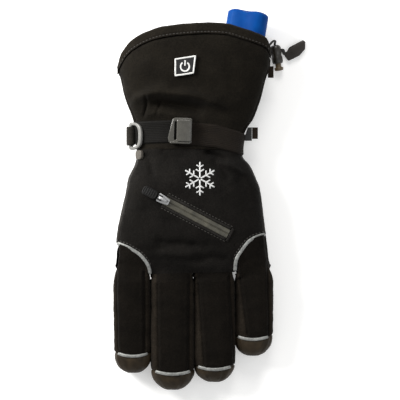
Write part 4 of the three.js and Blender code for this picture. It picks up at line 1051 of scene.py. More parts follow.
# Power button: a soft square pad under the gauntlet's cloth with a white frame and the usual ring and bar
# printed on it. It follows the slanted square that the photograph shows.
def dense(corners, step=0.8, closed=False):
    """Points every step along a line of straight runs"""
    corners = [tuple(corner) for corner in corners] + ([tuple(corners[0])] if closed else [])
    line = []
    for a, b in zip(corners, corners[1:]):
        count = max(int(math.dist(a, b) / step), 1)
        line += [(a[0] + (b[0] - a[0]) * k / count, a[1] + (b[1] - a[1]) * k / count) for k in range(count)]
    return np.array(line + ([] if closed else [corners[-1]]))


button_corners = np.array([plan(175.2, 60.9), plan(196.0, 57.6), plan(193.7, 74.8), plan(175.4, 77.5)])
button_middle = button_corners.mean(axis=0)
PAD_SHARE, PRINT_SHARE = 1.03, 0.95   # sizes of the pad and of the printed frame to those corners
pad_finish = Finish("button_pad", (0.009, 0.009, 0.0095), 0.62, Specular_IOR_Level=0.3)
pad_finish.mottle(4.0, 0.8, 1.2, 3.0, 0.0, 1.0)
pad_finish.bump(pad_finish.noise(0.8), 0.05)
print_finish = Finish("white_print", (0.62, 0.62, 0.60), 0.55)
print_finish.mottle(1.6, 0.82, 1.1, 4.0)
print_finish.bump(print_finish.noise(0.7), 0.04)

count = 41
s, t = np.meshgrid(np.linspace(-1, 1, count), np.linspace(-1, 1, count))
corner_cut = 1 - 0.035 * (s * t) ** 8
a, b = (s * corner_cut + 1) / 2, (t * corner_cut + 1) / 2
grown = button_middle + (button_corners - button_middle) * PAD_SHARE
pad_xy = (grown[3] * ((1 - a) * (1 - b))[..., None] + grown[2] * (a * (1 - b))[..., None]
          + grown[1] * (a * b)[..., None] + grown[0] * ((1 - a) * b)[..., None])
pad_ground = np.dstack([pad_xy, on_cloth(pad_xy[..., 0], pad_xy[..., 1])])
rim_fall = np.maximum(np.abs(s), np.abs(t))
pad_rise = 0.25 + 1.9 * (1 - rim_fall ** 14) ** 0.5
pad_upper = pad_ground + normal_at(pad_xy[..., 0], pad_xy[..., 1], on_cloth) * pad_rise[..., None]
pad_vertices = np.vstack([pad_upper.reshape(-1, 3), pad_ground.reshape(-1, 3)])
pad_faces = grid_faces(count, count) + [face[::-1] for face in grid_faces(count, count, base=count * count)]
edge_loop = [*range(count), *[k * count + count - 1 for k in range(1, count)],
             *[count * count - 1 - k for k in range(1, count)], *[k * count for k in range(count - 2, 0, -1)]]
for k, here in enumerate(edge_loop):
    following = edge_loop[(k + 1) % len(edge_loop)]
    pad_faces.append((following, here, here + count * count, following + count * count))
pad_uv = np.vstack([pad_xy.reshape(-1, 2)] * 2)
pad = mesh_object("button_pad_dome", pad_vertices, pad_faces, pad_finish, pad_uv)
sewn(pad, "glove", "button_pad", "power_button")


def arc_line(centre, radius, start, stop, count):
    angles = np.radians(np.linspace(start, stop, count))
    return np.stack([centre[0] + radius * np.cos(angles), centre[1] + radius * np.sin(angles)], axis=1)


PRINT_AT, PRINT_THICK = 2.25, 0.14
power_ring = np.array(plan(185.3, 68.6))
bar_top, bar_foot = plan(185.5, 62.4), plan(185.2, 67.8)
inner_frame = button_middle + (button_corners - button_middle) * PRINT_SHARE
symbol = [
    strip_parts(dense(inner_frame, 0.7, True), 1.35, PRINT_THICK, PRINT_AT, 4, closed=True),
    strip_parts(arc_line(power_ring, 3.75, 122, 418, 46), 1.25, PRINT_THICK, PRINT_AT, 4),
    strip_parts(dense([bar_top, bar_foot], 0.6), 1.2, PRINT_THICK, PRINT_AT, 4),
]
symbol = joined("button_print_lines", symbol, print_finish)
sewn(symbol, "glove", "button_print", "button_frame")

# Wrist strap: 20 mm nylon webbing sewn into both sides of the wrist. The right half runs from the buckle
# down round the little finger's side, the short left half from the buckle to the ring.
WEB_WIDTH, WEB_THICK, WEB_CLEAR = 20.0, 1.7, 0.3


def webbing_finish(name, colour, pitch=1.5):
    """Woven nylon: fine ribs along its length crossed by rows of weft"""
    web = Finish(name, colour, 0.72, Sheen_Weight=0.02, Specular_IOR_Level=0.12)
    rows = web.bands(0.85, "Y")
    ribs = web.bands(pitch, "X")
    weave = web.join(rows, ribs, "MULTIPLY")
    web.shade(web.join(web.ramp(weave, 0.62, 1.35), web.ramp(web.noise(7.0, 3.0), 0.8, 1.25, 0.3, 0.7)))
    web.bump(weave, 0.28, 0.9)
    web.bump(web.noise(0.5), 0.05, 0.5)
    return web


strap_web = webbing_finish("strap_webbing", (0.0085, 0.0056, 0.0032))
left_web = webbing_finish("left_webbing", (0.0036, 0.0031, 0.0024))


def wrapped_band(name, middle_y, x_from, x_to, end_angle, finish, rows, seed=1.0):
    """Webbing round the tube: from a place on the back to an angle at its side"""
    width, thick, base, columns = WEB_WIDTH, WEB_THICK, WEB_CLEAR, 34
    place = np.linspace(-0.5, 0.5, columns)[None, :]

    def angle_at(x, y):
        middle, half = half_width(along_of(y))
        u = np.clip((x - middle) / half, -0.999, 0.999)
        return np.arccos(np.sign(u) * np.abs(u) ** (SQUARENESS / 2))

    start_y = middle_y(np.full((1, columns), x_from)) + place * width
    first = angle_at(np.full((1, columns), x_from), start_y)
    down = np.linspace(0, 1, rows)[:, None]
    angle = first + (end_angle - first) * down
    y = np.broadcast_to(start_y, angle.shape).copy()
    for _ in range(6):
        x, z = body_point(y, angle)
        y = middle_y(np.clip(x, min(x_from, x_to), max(x_from, x_to))) + place * width
    edge = np.abs(place * 2)
    rim = (1 - edge ** 14) ** 0.5
    ripple = 0.25 * wrinkles(np.stack([x, y, z], axis=2), 14.0, seed=seed)
    x, z = body_point(y, angle)
    surface = np.stack([x, y, z], axis=2)
    normal = normals_of(surface)
    normal *= np.sign(normal[:, :, 2:3].mean())
    lifted = surface + normal * (base + thick * rim + np.maximum(ripple, -0.2))[..., None]
    inner = surface[:, ::-1] + normal[:, ::-1] * (base * 0.4)
    ring = np.concatenate([lifted, inner], axis=1)
    points, faces, uv = capped(ring)
    return mesh_object(name, points, faces, finish, uv)


def strap_middle(x):
    """Y of the right half's middle, which slants down towards the side"""
    return np.interp(x, [-14, 0, 17.4, 39, 46], [-42.6, -42.8, -44.2, -50.2, -53.5])


def left_middle(x):
    return np.interp(x, [-52, -46, -22, -14], [-41.5, -41.2, -40.4, -40.2])


strap = wrapped_band("strap_right", strap_middle, -13.4, 46, 0.12, strap_web, 90)
sewn(strap, "glove", "webbing", "strap")
strap_left = wrapped_band("strap_left_half", left_middle, -14.8, -52, math.pi - 0.1, left_web, 60, seed=5)
sewn(strap_left, "glove", "webbing", "strap_left")

# Side-squeeze buckle: glossy black moulded plastic, a plate with a slot for the webbing and a slanted left
# side, a raised block over it, and a lip along its lower edge and its right. It is fastened.
def seat(x, y, turn, length, width, clear):
    """A frame that lies on the glove's back and is clear of it all over a footprint"""
    a, b = math.cos(math.radians(turn)), math.sin(math.radians(turn))

    def height(u, v):
        return float(top(x + a * u - b * v, y + b * u + a * v))

    slope_u = (height(length / 2, 0) - height(-length / 2, 0)) / length
    slope_v = (height(0, width / 2) - height(0, -width / 2)) / width
    spots = [(u * length, v * width) for u in (-0.5, -0.25, 0, 0.25, 0.5) for v in (-0.5, 0, 0.5)]
    base = max(height(u, v) - slope_u * u - slope_v * v for u, v in spots)
    axis_x = Vector((a, b, slope_u)).normalized()
    upward = axis_x.cross(Vector((-b, a, slope_v))).normalized()
    axis_y = upward.cross(axis_x)
    origin = Vector((x, y, base)) + upward * clear
    return Matrix(((axis_x.x, axis_y.x, upward.x, origin.x), (axis_x.y, axis_y.y, upward.y, origin.y),
                   (axis_x.z, axis_y.z, upward.z, origin.z), (0, 0, 0, 1)))


def rounded(width, length, corner, x=0.0, y=0.0):
    """Outline of a rectangle with round corners"""
    steps = 5
    points = []
    for quarter, (right, up) in enumerate(((1, 1), (-1, 1), (-1, -1), (1, -1))):
        for k in range(steps + 1):
            angle = (quarter + k / steps) * math.pi / 2
            points.append((x + right * (width / 2 - corner) + corner * math.cos(angle),
                           y + up * (length / 2 - corner) + corner * math.sin(angle)))
    return points


def curve_mesh(curve, lines, closed):
    """The mesh of a curve that runs straight from point to point of each line"""
    for points in lines:
        run = curve.splines.new("POLY")
        run.points.add(len(points) - 1)
        for point, place in zip(run.points, points):
            point.co = (*place, 1) if len(place) == 3 else (*place, 0, 1)
        run.use_cyclic_u = closed
    holder = bpy.data.objects.new(curve.name, curve)
    mesh = bpy.data.meshes.new_from_object(holder)
    bpy.data.objects.remove(holder)
    bpy.data.curves.remove(curve)
    return mesh


def plate(outline, low, high, bevel=0.4, holes=()):
    """A flat plate with rounded edges, and holes right through it, as a mesh in its own frame"""
    curve = bpy.data.curves.new("plate_outline", "CURVE")
    curve.dimensions = "2D"
    curve.fill_mode = "BOTH"
    curve.extrude = max((high - low) / 2 - bevel, 0.01)
    curve.bevel_depth = bevel
    curve.bevel_resolution = 2
    curve.offset = -bevel
    mesh = curve_mesh(curve, (outline, *holes), True)
    mesh.transform(Matrix.Translation((0, 0, (low + high) / 2)))
    return mesh


def wire(points, diameter, closed=False):
    """A round rod along a line, as a mesh"""
    curve = bpy.data.curves.new("rod_line", "CURVE")
    curve.dimensions = "3D"
    curve.bevel_depth = diameter / 2
    curve.bevel_resolution = 4
    curve.use_fill_caps = True
    return curve_mesh(curve, [points], closed)


def lathe(rows):
    """A turned shape about its own Y axis from rows of radius and place"""
    sides = 40
    shape = bmesh.new()
    rings = []
    for radius, along in rows:
        radius = max(radius, 0.01)
        rings.append([shape.verts.new((radius * math.cos(angle), along, radius * math.sin(angle)))
                      for angle in np.linspace(0, 2 * math.pi, sides, endpoint=False)])
    for first, second in zip(rings, rings[1:]):
        for k in range(sides):
            shape.faces.new((first[k], first[(k + 1) % sides], second[(k + 1) % sides], second[k]))
    shape.faces.new(rings[0][::-1])
    shape.faces.new(rings[-1])
    bmesh.ops.recalc_face_normals(shape, faces=shape.faces)
    mesh = bpy.data.meshes.new("turned")
    shape.to_mesh(mesh)
    shape.free()
    return mesh


def frame_at(place, *turns):
    """A frame at a place, turned by degrees about one axis after another"""
    result = Matrix.Translation(place)
    for degrees, axis in turns:
        result = result @ Matrix.Rotation(math.radians(degrees), 4, axis)
    return result


def hardware(name, meshes, finish, matrix=None, flat_angle=35):
    """Joins meshes in millimetres into one object and lays them out in a frame"""
    shape = bmesh.new()
    for mesh in meshes:
        mesh.transform(matrix or Matrix.Identity(4))
        shape.from_mesh(mesh)
        bpy.data.meshes.remove(mesh)
    bmesh.ops.remove_doubles(shape, verts=shape.verts, dist=0.001)
    bmesh.ops.recalc_face_normals(shape, faces=shape.faces)
    bmesh.ops.scale(shape, vec=(0.001, 0.001, 0.001), verts=shape.verts)
    result = bpy.data.meshes.new(name)
    shape.to_mesh(result)
    shape.free()
    result.polygons.foreach_set("use_smooth", [True] * len(result.polygons))
    result.set_sharp_from_angle(angle=math.radians(flat_angle))
    result.materials.clear()
    result.materials.append(finish.material)
    obj = bpy.data.objects.new(name, result)
    bpy.context.collection.objects.link(obj)
    return obj


def moulded(name, colour, rough, **shader):
    """Moulded plastic: an even skin with faint flow marks and fine scratches"""
    plastic = Finish(name, colour, rough, **shader)
    plastic.mottle(5.0, 0.85, 1.2)
    plastic.rough(plastic.ramp(plastic.noise(2.0, 4.0), rough - 0.06, rough + 0.1))
    plastic.bump(plastic.noise(1.4, 4.0), 0.03, 0.6)
    return plastic


BUCKLE_WIDTH, BUCKLE_LENGTH, BUCKLE_THICK = 20.4, 22.4, 5.0
buckle_x, buckle_y = -0.19 * PALM_HALF, WRIST_Y + 0.022 * CUFF_LENGTH
# Base colour: a dark olive grey, lighter than the buckle's black plastic, with painted reflection in it on
# top of the shader's own gloss.
buckle_plastic_with_painted_reflection = moulded("buckle_plastic_with_painted_reflection", (0.045, 0.043, 0.036), 0.24, Specular_IOR_Level=0.8)
buckle_frame = seat(buckle_x, buckle_y, -2, BUCKLE_WIDTH, BUCKLE_LENGTH, 0.6 + WEB_THICK)
base_outline = [(u * BUCKLE_WIDTH, v * BUCKLE_LENGTH) for u, v in (
    (0.5, 0.46), (0.44, 0.5), (-0.22, 0.5), (-0.32, 0.45), (-0.5, -0.28), (-0.46, -0.44), (-0.40, -0.5),
    (0.42, -0.5), (0.5, -0.45))]
slot_hole = rounded(2.0, BUCKLE_LENGTH * 0.72, 0.9, -0.19 * BUCKLE_WIDTH)[::-1]
buckle_parts = [
    plate(base_outline, 0.0, 2.9, 0.5, [slot_hole]),
    plate(rounded(12.2, 19.0, 1.4, 3.4, 0.4), 1.0, BUCKLE_THICK, 0.7),
    plate(rounded(17.0, 1.8, 0.8, 0.6, -10.1), 1.0, 4.2, 0.5),
    plate(rounded(1.6, 18.6, 0.7, 9.2, 0.3), 1.0, 4.0, 0.4),
]
buckle = hardware("buckle_body", buckle_parts, buckle_plastic_with_painted_reflection, buckle_frame)
sewn(buckle, "glove", "hardware_plastic", "buckle")

# Ring and its webbing: a pale grey D-shaped ring stands on the thumb side of the wrist. A folded loop of
# webbing holds its straight bar, and ends below in a grey rubber tab.
RING_WIRE, RING_LENGTH, RING_REACH, RING_TILT = 2.8, 24.0, 15.0, 42.0
LOOP_WIDTH, LOOP_THICK = 16.5, 1.3
ring_y = WRIST_Y - 2.6


def side_edge(y, u):
    """X and height of the tube's left or right edge, where u is -1 or 1"""
    along = along_of(np.asarray(y, float))
    middle, half = half_width(along)
    return float(middle + u * half), float(level("seam", u, along))


left_edge = min(side_edge(ring_y + shift, -1)[0] for shift in (-LOOP_WIDTH / 2, 0, LOOP_WIDTH / 2))
left_z = side_edge(ring_y, -1)[1]
ring_frame = frame_at((left_edge + 1, ring_y, left_z + 9.8), (-RING_TILT, "Y"))


def ring_outline(inset, bow):
    """The D's outline, drawn in by an inset and flattened on its round side by a bow"""
    side = ((-0.5, 0.86), (-0.44, 0.96), (-0.36, 1), (-0.2, 1.0), (0, 0.97), (0.17, 0.9), (0.3, 0.8),
            (0.40, 0.66), (0.46, 0.5), (0.49, 0.26))
    whole = [*side, (0.5, 0), *[(u, -v) for u, v in side[::-1]]]
    reach, long = RING_REACH - 2 * inset, RING_LENGTH / 2 - inset
    return [(u * reach - bow * max(u, 0), v * long) for u, v in whole]


ring_plastic = moulded("ring_plastic", (0.135, 0.133, 0.125), 0.33, Specular_IOR_Level=0.6)
ring = hardware("wrist_ring", [plate(ring_outline(0, 0)[::-1], -RING_WIRE / 2, RING_WIRE / 2, 0.9,
                                     [ring_outline(RING_WIRE, 2.0)])], ring_plastic, ring_frame, 60)
sewn(ring, "glove", "ring_plastic", "strap_ring")

bar_x, _, bar_z = ring_frame @ Vector((-(RING_REACH - RING_WIRE) / 2, 0, 0))
loop_radius = RING_WIRE * 0.8 + 0.3 + LOOP_THICK / 2
loop_line = [(bar_x + loop_radius * math.cos(math.radians(angle)),
              bar_z + loop_radius * math.sin(math.radians(angle))) for angle in range(20, 206, 6)]
loop_tail = [(left_edge - out, left_z + up) for out, up in ((2.6, 2.5), (1.9, 0.6), (1.7, -1.0))]
loop_line = np.array(loop_line + loop_tail)
loop_heading = unit(np.gradient(loop_line, axis=0))
loop_out = np.stack([-loop_heading[:, 1], loop_heading[:, 0]], axis=1)
loop_web = webbing_finish("loop_webbing", (0.0145, 0.0125, 0.0095), 1.2)
across_loop = np.linspace(-0.5, 0.5, 26)
edge_round = (1 - np.abs(2 * across_loop) ** 12) ** 0.5
sheets = []
for sign in (-1, 1):
    layer = loop_line[:, None, :] + loop_out[:, None, :] * (sign * LOOP_THICK / 2 * edge_round)[None, :, None]
    span = np.broadcast_to(ring_y + across_loop * LOOP_WIDTH, layer.shape[:2])
    sheets.append(np.stack([layer[..., 0], span, layer[..., 1]], axis=2))
loop_ring = np.concatenate([sheets[1], sheets[0][:, ::-1]], axis=1)
loop_points, loop_faces, loop_uv = capped(loop_ring)
loop = mesh_object("ring_webbing_loop", loop_points, loop_faces, loop_web, loop_uv)
sewn(loop, "glove", "webbing", "ring_loop")

END_LEAN, end_y = 52.0, WRIST_Y - 18.9
end_x = side_edge(end_y, -1)[0] + 3.2
end_z = float(on_cloth(np.array([end_x]), np.array([end_y]))[0])
end_frame = frame_at((end_x, end_y, end_z), (-END_LEAN, "Y"))
end_rubber = moulded("end_rubber", (0.062, 0.055, 0.046), 0.5, Specular_IOR_Level=0.3)
loop_end = hardware("loop_rubber_end", [plate(rounded(8.5, 8.0, 2.6), -0.6, 2.4, 0.7)], end_rubber, end_frame)
sewn(loop_end, "glove", "ring_plastic")

# Bar and folded tab on the strap's right end: a black moulded bar with a short brown webbing tab in it.
BAR_WIDTH, BAR_LENGTH = 3.5, 11.7
TAB_THICK, TAB_WIDTH, TAB_LENGTH, TAB_COLUMNS = 2.4, 10.0, 5.0, 20
tab_web = webbing_finish("tab_webbing", (0.0155, 0.0095, 0.0055), 1.1)
black_plastic = moulded("black_plastic", (0.008, 0.0078, 0.0072), 0.36, Specular_IOR_Level=0.45)
bar_y = WRIST_Y - 0.6
bar_edge_x, bar_edge_z = side_edge(bar_y + BAR_LENGTH / 2, 1)
bar_x0 = bar_edge_x + 0.6
bar_foot_x = side_edge(bar_y - BAR_LENGTH / 2, 1)[0] + 0.9
bar_frame = frame_at((0, 0, bar_edge_z + 1))
strap_bar = hardware("strap_end_bar", [
    plate([(bar_x0 + BAR_WIDTH, bar_y - BAR_LENGTH / 2), (bar_x0 + BAR_WIDTH, bar_y + BAR_LENGTH / 2),
           (bar_x0, bar_y + BAR_LENGTH / 2), (bar_foot_x, bar_y - BAR_LENGTH / 2)],
          -TAB_THICK / 2 - 0.3, TAB_THICK / 2 + 0.3, 0.5)], black_plastic, bar_frame)
sewn(strap_bar, "glove", "hardware_plastic", "strap_bar")


def folded_tab(name, x, y, z):
    """Two layers of webbing folded over, with a rounded fold at the outer end"""
    length, width, thick = TAB_LENGTH, TAB_WIDTH, TAB_THICK
    profile = [(-length / 2, thick / 2), (length / 2 - thick / 2, thick / 2)]
    profile += [(length / 2 - thick / 2 + thick / 2 * math.sin(angle), thick / 2 * math.cos(angle))
                for angle in np.linspace(0.2, math.pi - 0.2, 9)]
    profile += [(length / 2 - thick / 2, -thick / 2), (-length / 2, -thick / 2), (-length / 2, -0.12),
                (length / 2 - thick, -0.12), (length / 2 - thick * 0.8, 0.0), (length / 2 - thick, 0.12),
                (-length / 2, 0.12)]
    count = len(profile)
    across = np.linspace(-0.5, 0.5, TAB_COLUMNS)
    rounding = 1 - 0.12 * np.abs(2 * across) ** 10
    line = np.array(profile)
    rows = np.stack([np.broadcast_to(x + line[:, :1], (count, TAB_COLUMNS)),
                     np.broadcast_to(y + across * width, (count, TAB_COLUMNS)),
                     z + line[:, 1:] * rounding], axis=2)
    number = np.arange(count * TAB_COLUMNS).reshape(count, TAB_COLUMNS)
    following = np.roll(number, -1, axis=0)
    faces = [(number[r, c], number[r, c + 1], following[r, c + 1], following[r, c])
             for r in range(count) for c in range(TAB_COLUMNS - 1)]
    faces += [tuple(number[:, 0]), tuple(number[::-1, -1])]
    uv = np.stack([rows[..., 1] - y, lengths(rows, 0)], axis=2).reshape(-1, 2)
    return mesh_object(name, rows.reshape(-1, 3), faces, tab_web, uv, smooth=False)


side_tab = folded_tab("side_webbing_tab", bar_x0 + 0.3 + BAR_WIDTH + TAB_LENGTH / 2,
                      bar_y + (BAR_LENGTH - TAB_WIDTH) / 2, bar_edge_z + 1)
sewn(side_tab, "glove", "webbing", "side_tab")

# Pocket zip: an olive-grey coated tape, closed, set in a stitched welt on the back of the hand. Its bright
# slider is at the upper end with a dark ribbed rubber pull.
ZIP_LENGTH, ZIP_WIDTH, ZIP_TURN = 62.0, 7.6, -27.8
SLIDER_LENGTH, SLIDER_WIDTH, SLIDER_THICK = 11.0, 8.0, 2.4
zip_x, zip_y = 0.018 * PALM_HALF, WRIST_Y - 0.588 * HAND_LENGTH
zip_heading = np.array((math.cos(math.radians(ZIP_TURN)), math.sin(math.radians(ZIP_TURN))))
zip_side = np.array((-zip_heading[1], zip_heading[0]))
zip_middle = np.array((zip_x, zip_y))
tape_line = zip_middle + np.linspace(-0.5, 0.5, 110)[:, None] * ZIP_LENGTH * zip_heading
tape_finish = Finish("zip_coating", (0.047, 0.044, 0.032), 0.42, Specular_IOR_Level=0.5)
tape_finish.shade(tape_finish.join(tape_finish.ramp(tape_finish.noise(6.0, 4.0), 0.62, 1.45, 0.3, 0.7),
                                   tape_finish.ramp(tape_finish.bands(0.9, "Y"), 0.85, 1.1)))
tape_finish.bump(tape_finish.bands(1.1, "Y"), 0.07, 0.5)
tape_finish.bump(tape_finish.noise(1.0), 0.05)
tape = joined("zip_coated_tape", [strip_parts(tape_line, ZIP_WIDTH, 0.95, 0.3, 31, crown_power=10, dip=0.75)],
              tape_finish)
sewn(tape, "glove", "zip_tape_coat", "zip_tape")

welt_finish = shell_cloth("welt_cloth", (0.0125, 0.0115, 0.0105), light=1.0)
welt_parts = []
for sign, reach in ((1, 5.1), (-1, 5.0)):
    line = tape_line[::2] + zip_side * sign * reach
    welt_parts.append(strip_parts(line, 2.2, 0.8, 0.25, 9, wavy=0.1, seed=sign + 4.0))
end_line = zip_middle + zip_heading * (ZIP_LENGTH / 2 + 1.5) + np.linspace(-6, 6, 14)[:, None] * zip_side
welt_parts.append(strip_parts(end_line, 2.2, 0.8, 0.25, 9, wavy=0.1, seed=2.0))
welt = joined("zip_welt", welt_parts, welt_finish)
sewn(welt, "glove", "shell_cloth")

slider_at = zip_middle + zip_heading * (4.5 - (ZIP_LENGTH + SLIDER_LENGTH) / 2)
slider_frame = seat(*slider_at, ZIP_TURN + 180, SLIDER_LENGTH, SLIDER_WIDTH, 0.6 + 0.9)
slider_outline = [(u * SLIDER_LENGTH, v * SLIDER_WIDTH) for u, v in (
    (0.5, 0.38), (0.44, 0.48), (0.1, 0.46), (-0.1, 0.42), (-0.44, 0.34), (-0.5, 0.26), (-0.5, -0.26),
    (-0.44, -0.34), (-0.1, -0.42), (0.1, -0.46), (0.44, -0.48), (0.5, -0.38))]
slider_metal = Finish("slider_plating", (0.40, 0.405, 0.41), 0.34, Metallic=0.9)
slider_metal.rough(slider_metal.ramp(slider_metal.noise(2.0, 4.0), 0.28, 0.5))
slider_metal.bump(slider_metal.noise(1.2, 3.0), 0.03)
slider_outer = plate(slider_outline, 0.0, SLIDER_THICK, 0.45)
pivot_x, pivot_z = SLIDER_LENGTH * 0.16, SLIDER_THICK + 0.6 + 0.6
BRIDGE = ((-0.36, SLIDER_THICK - 0.3), (-0.26, 4.4), (-0.16, 5.2), (0.26, 5.2), (0.36, 4.4),
          (0.43, SLIDER_THICK - 0.3))     # place along the slider as a share, and height
bridge = [wire([(along * SLIDER_LENGTH, side * 0.55, height) for along, height in BRIDGE], 1.15)
          for side in (-1, 0, 1)]
slider = hardware("slider_body", [slider_outer, *bridge], slider_metal, slider_frame, 50)
sewn(slider, "glove", "slider_metal", "zip_slider")

PULL_LENGTH, PULL_WIDTH, PULL_THICK, PULL_BAR, PULL_LEAN = 18.0, 8.0, 2.0, 1.2, 5.0
arm = SLIDER_LENGTH * 0.42
grip_length = PULL_LENGTH - arm
pull_frame = slider_frame @ frame_at((pivot_x, 0, pivot_z), (PULL_LEAN, "Y"))
pull_rubber = Finish("pull_rubber", (0.0052, 0.0052, 0.0049), 0.55, Specular_IOR_Level=0.15)
pull_rubber.mottle(3.0, 0.75, 1.35, 4.0)
pull_rubber.bump(pull_rubber.noise(0.6, 3.0), 0.06)
fork_half = 1.4 + PULL_BAR / 2
fork = wire([(0, -fork_half, 0), (0, fork_half, 0), (arm + 1.4, fork_half, 0), (arm + 1.4, -fork_half, 0)],
            PULL_BAR, closed=True)
grip = plate(rounded(grip_length, PULL_WIDTH, PULL_WIDTH * 0.32, arm + grip_length / 2), -PULL_THICK / 2,
             PULL_THICK / 2, 0.6)
rim_line = rounded(grip_length - 1.4, PULL_WIDTH - 1.4, PULL_WIDTH * 0.28, arm + grip_length / 2)
rim_bead = wire([(x, y, PULL_THICK / 2 - 0.05) for x, y in rim_line], 0.8, closed=True)
ribs = [wire([(arm + 3.0 + 2.0 * k, side * PULL_WIDTH * 0.36, PULL_THICK / 2) for side in (-1, 1)], 0.8)
        for k in range(5)]
pull = hardware("ribbed_pull", [fork, grip, rim_bead, *ribs], pull_rubber, pull_frame, 50)
sewn(pull, "zip_pull", "pull_rubber", "zip_pull")

# Drawcord at the rim: a black cord lock with a worn brown push end, the short cord through it to a
# moulded end clip, a thin tether up to the hem and a brown webbing tab sewn in the side seam.
LOCK_LENGTH, LOCK_WIDTH, LOCK_HEIGHT, LOCK_TURN = 16.5, 9.6, 8.6, 9.5
CORD, TETHER = 3.0, 2.0
lock_y = WRIST_Y + 0.755 * CUFF_LENGTH
lock_edge_x = side_edge(lock_y, 1)[0]
lock_at = Vector((lock_edge_x + 1 + LOCK_WIDTH / 2, lock_y, LOCK_HEIGHT / 2))
lock_frame = frame_at(lock_at, (LOCK_TURN, "Z")) @ Matrix.Diagonal((1, 1, LOCK_HEIGHT / LOCK_WIDTH, 1))
stem = LOCK_WIDTH * 0.27
# The barrel's radius and place along it, as shares of its width and length
BARREL = ((0.0, 0.5), (0.26, 0.5), (0.37, 0.475), (0.46, 0.41), (0.495, 0.34), (0.5, 0.05), (0.455, -0.02),
          (0.455, -0.10), (0.5, -0.16), (0.5, -0.40), (0.465, -0.465), (0.40, -0.5))
barrel_rows = [(LOCK_WIDTH * radius, LOCK_LENGTH * place) for radius, place in BARREL]
barrel_bore = [(stem + 0.35, -LOCK_LENGTH * 0.5), (stem + 0.3, 0.0), (0.0, 0.0)]
mould_line = [(-0.31, 0.42, 0.33), (-0.33, 0, 0.38), (-0.31, -0.42, 0.33)]
lock_parts = [lathe(barrel_rows + barrel_bore),
              wire([(LOCK_WIDTH * x, LOCK_LENGTH * y, LOCK_WIDTH * z) for x, y, z in mould_line], 0.9)]
lock_shine = moulded("lock_plastic", (0.013, 0.0105, 0.007), 0.3, Specular_IOR_Level=0.6)
lock = hardware("cord_lock_barrel", lock_parts, lock_shine, lock_frame, 50)
sewn(lock, "glove", "hardware_plastic", "cord_lock")
head_in = -LOCK_LENGTH / 2 - 0.3 - 3.0
head_out = head_in - 3.0
plunger_head = ((0.0, head_out), (0.28, head_out), (0.37, head_out + 0.35), (0.41, head_out + 1.1),
                (0.42, head_in - 0.6), (0.38, head_in))
plunger_rows = [(LOCK_WIDTH * radius, place) for radius, place in plunger_head]
plunger_rows += [(stem, head_in), (stem, -LOCK_LENGTH * 0.24), (0.0, -LOCK_LENGTH * 0.24)]
worn_brown = moulded("plunger_plastic", (0.085, 0.057, 0.026), 0.4, Specular_IOR_Level=0.5)
plunger = hardware("lock_push_end", [lathe(plunger_rows)], worn_brown, lock_frame, 50)
sewn(plunger, "lock_plunger", "plunger_plastic", "lock_plunger")

CLIP_LENGTH, CLIP_WIDTH, CLIP_THICK, CLIP_TURN = 22.0, 11.2, 4.0, 33.0
clip_frame = frame_at((lock_at.x + 17.2, lock_at.y + 3.8, CLIP_THICK / 2), (CLIP_TURN, "Z"))
cord_along = LOCK_LENGTH * 0.16
cord_end = clip_frame @ Vector((-0.23 * CLIP_LENGTH, 0.11 * CLIP_WIDTH, 0))
cord_points = [Vector((lock_edge_x - 4.6, lock_at.y + 2.6, LOCK_HEIGHT * 0.9)),
               Vector((lock_edge_x - 2, lock_at.y + 2.4, LOCK_HEIGHT * 0.72)),
               lock_frame @ Vector((-LOCK_WIDTH * 0.45, cord_along, 0)),
               lock_frame @ Vector((LOCK_WIDTH * 0.3, cord_along, 0)),
               lock_frame @ Vector((LOCK_WIDTH * 0.65, cord_along, -0.2)),
               cord_end + Vector((-5.2, -1.2, 0.6)), cord_end]
braid = Finish("drawcord_braid", (0.0085, 0.0078, 0.007), 0.8, Sheen_Weight=0.1)
braid.mottle(1.0, 0.7, 1.4)
braid.bump(braid.grain(0.7), 0.12, 0.8)
cord = hardware("drawcord_line", [wire(spline(cord_points, 60), CORD)], braid)
sewn(cord, "glove", "drawcord_braid", "drawcord")
clip_outline = [(u * CLIP_LENGTH, v * CLIP_WIDTH) for u, v in (
    (0.5, 0.14), (0.49, 0.27), (0.45, 0.38), (-0.14, 0.49), (-0.2, 0.46), (-0.49, 0.13), (-0.5, 0.06),
    (-0.48, -0.34), (-0.43, -0.4), (-0.02, -0.5), (0.04, -0.49), (0.34, -0.31))]
clip_plastic = moulded("clip_plastic", (0.0125, 0.009, 0.006), 0.38, Specular_IOR_Level=0.45)
raised_outline = [(0.36 * CLIP_LENGTH * u + 2.0, 0.30 * CLIP_WIDTH * v + 0.3) for u, v in (
    (1, 0.2), (0.8, 1), (-0.7, 1), (-0.9, 0), (-0.7, -1), (0.4, -1))]
clip_parts = [plate(clip_outline, -CLIP_THICK / 2, CLIP_THICK / 2, 0.7),
              plate(raised_outline, 0.4, CLIP_THICK / 2 + 0.35, 0.3)]
clip = hardware("cord_end_clip", clip_parts, clip_plastic, clip_frame)
sewn(clip, "glove", "hardware_plastic", "cord_clip")
tether_points = [Vector((lock_edge_x + x, lock_at.y + y, z)) for x, y, z in (
    (-1.2, 7, 13), (2.4, 11, 10.4), (4.6, 11.4, 7))]
tether_points += [lock_frame @ Vector((0, LOCK_LENGTH / 2 + past, 0)) for past in (1.2, -0.6)]
tether = hardware("lock_tether_line", [wire(spline(tether_points, 40), TETHER)], braid)
sewn(tether, "glove", "drawcord_braid", "lock_tether")
anchor_y = WRIST_Y + 0.575 * CUFF_LENGTH
anchor_x, anchor_z = side_edge(anchor_y, 1)
anchor = folded_tab("anchor_webbing_tab", anchor_x - 0.3 + TAB_LENGTH / 2, anchor_y, anchor_z)
sewn(anchor, "glove", "webbing", "cord_anchor_tab")

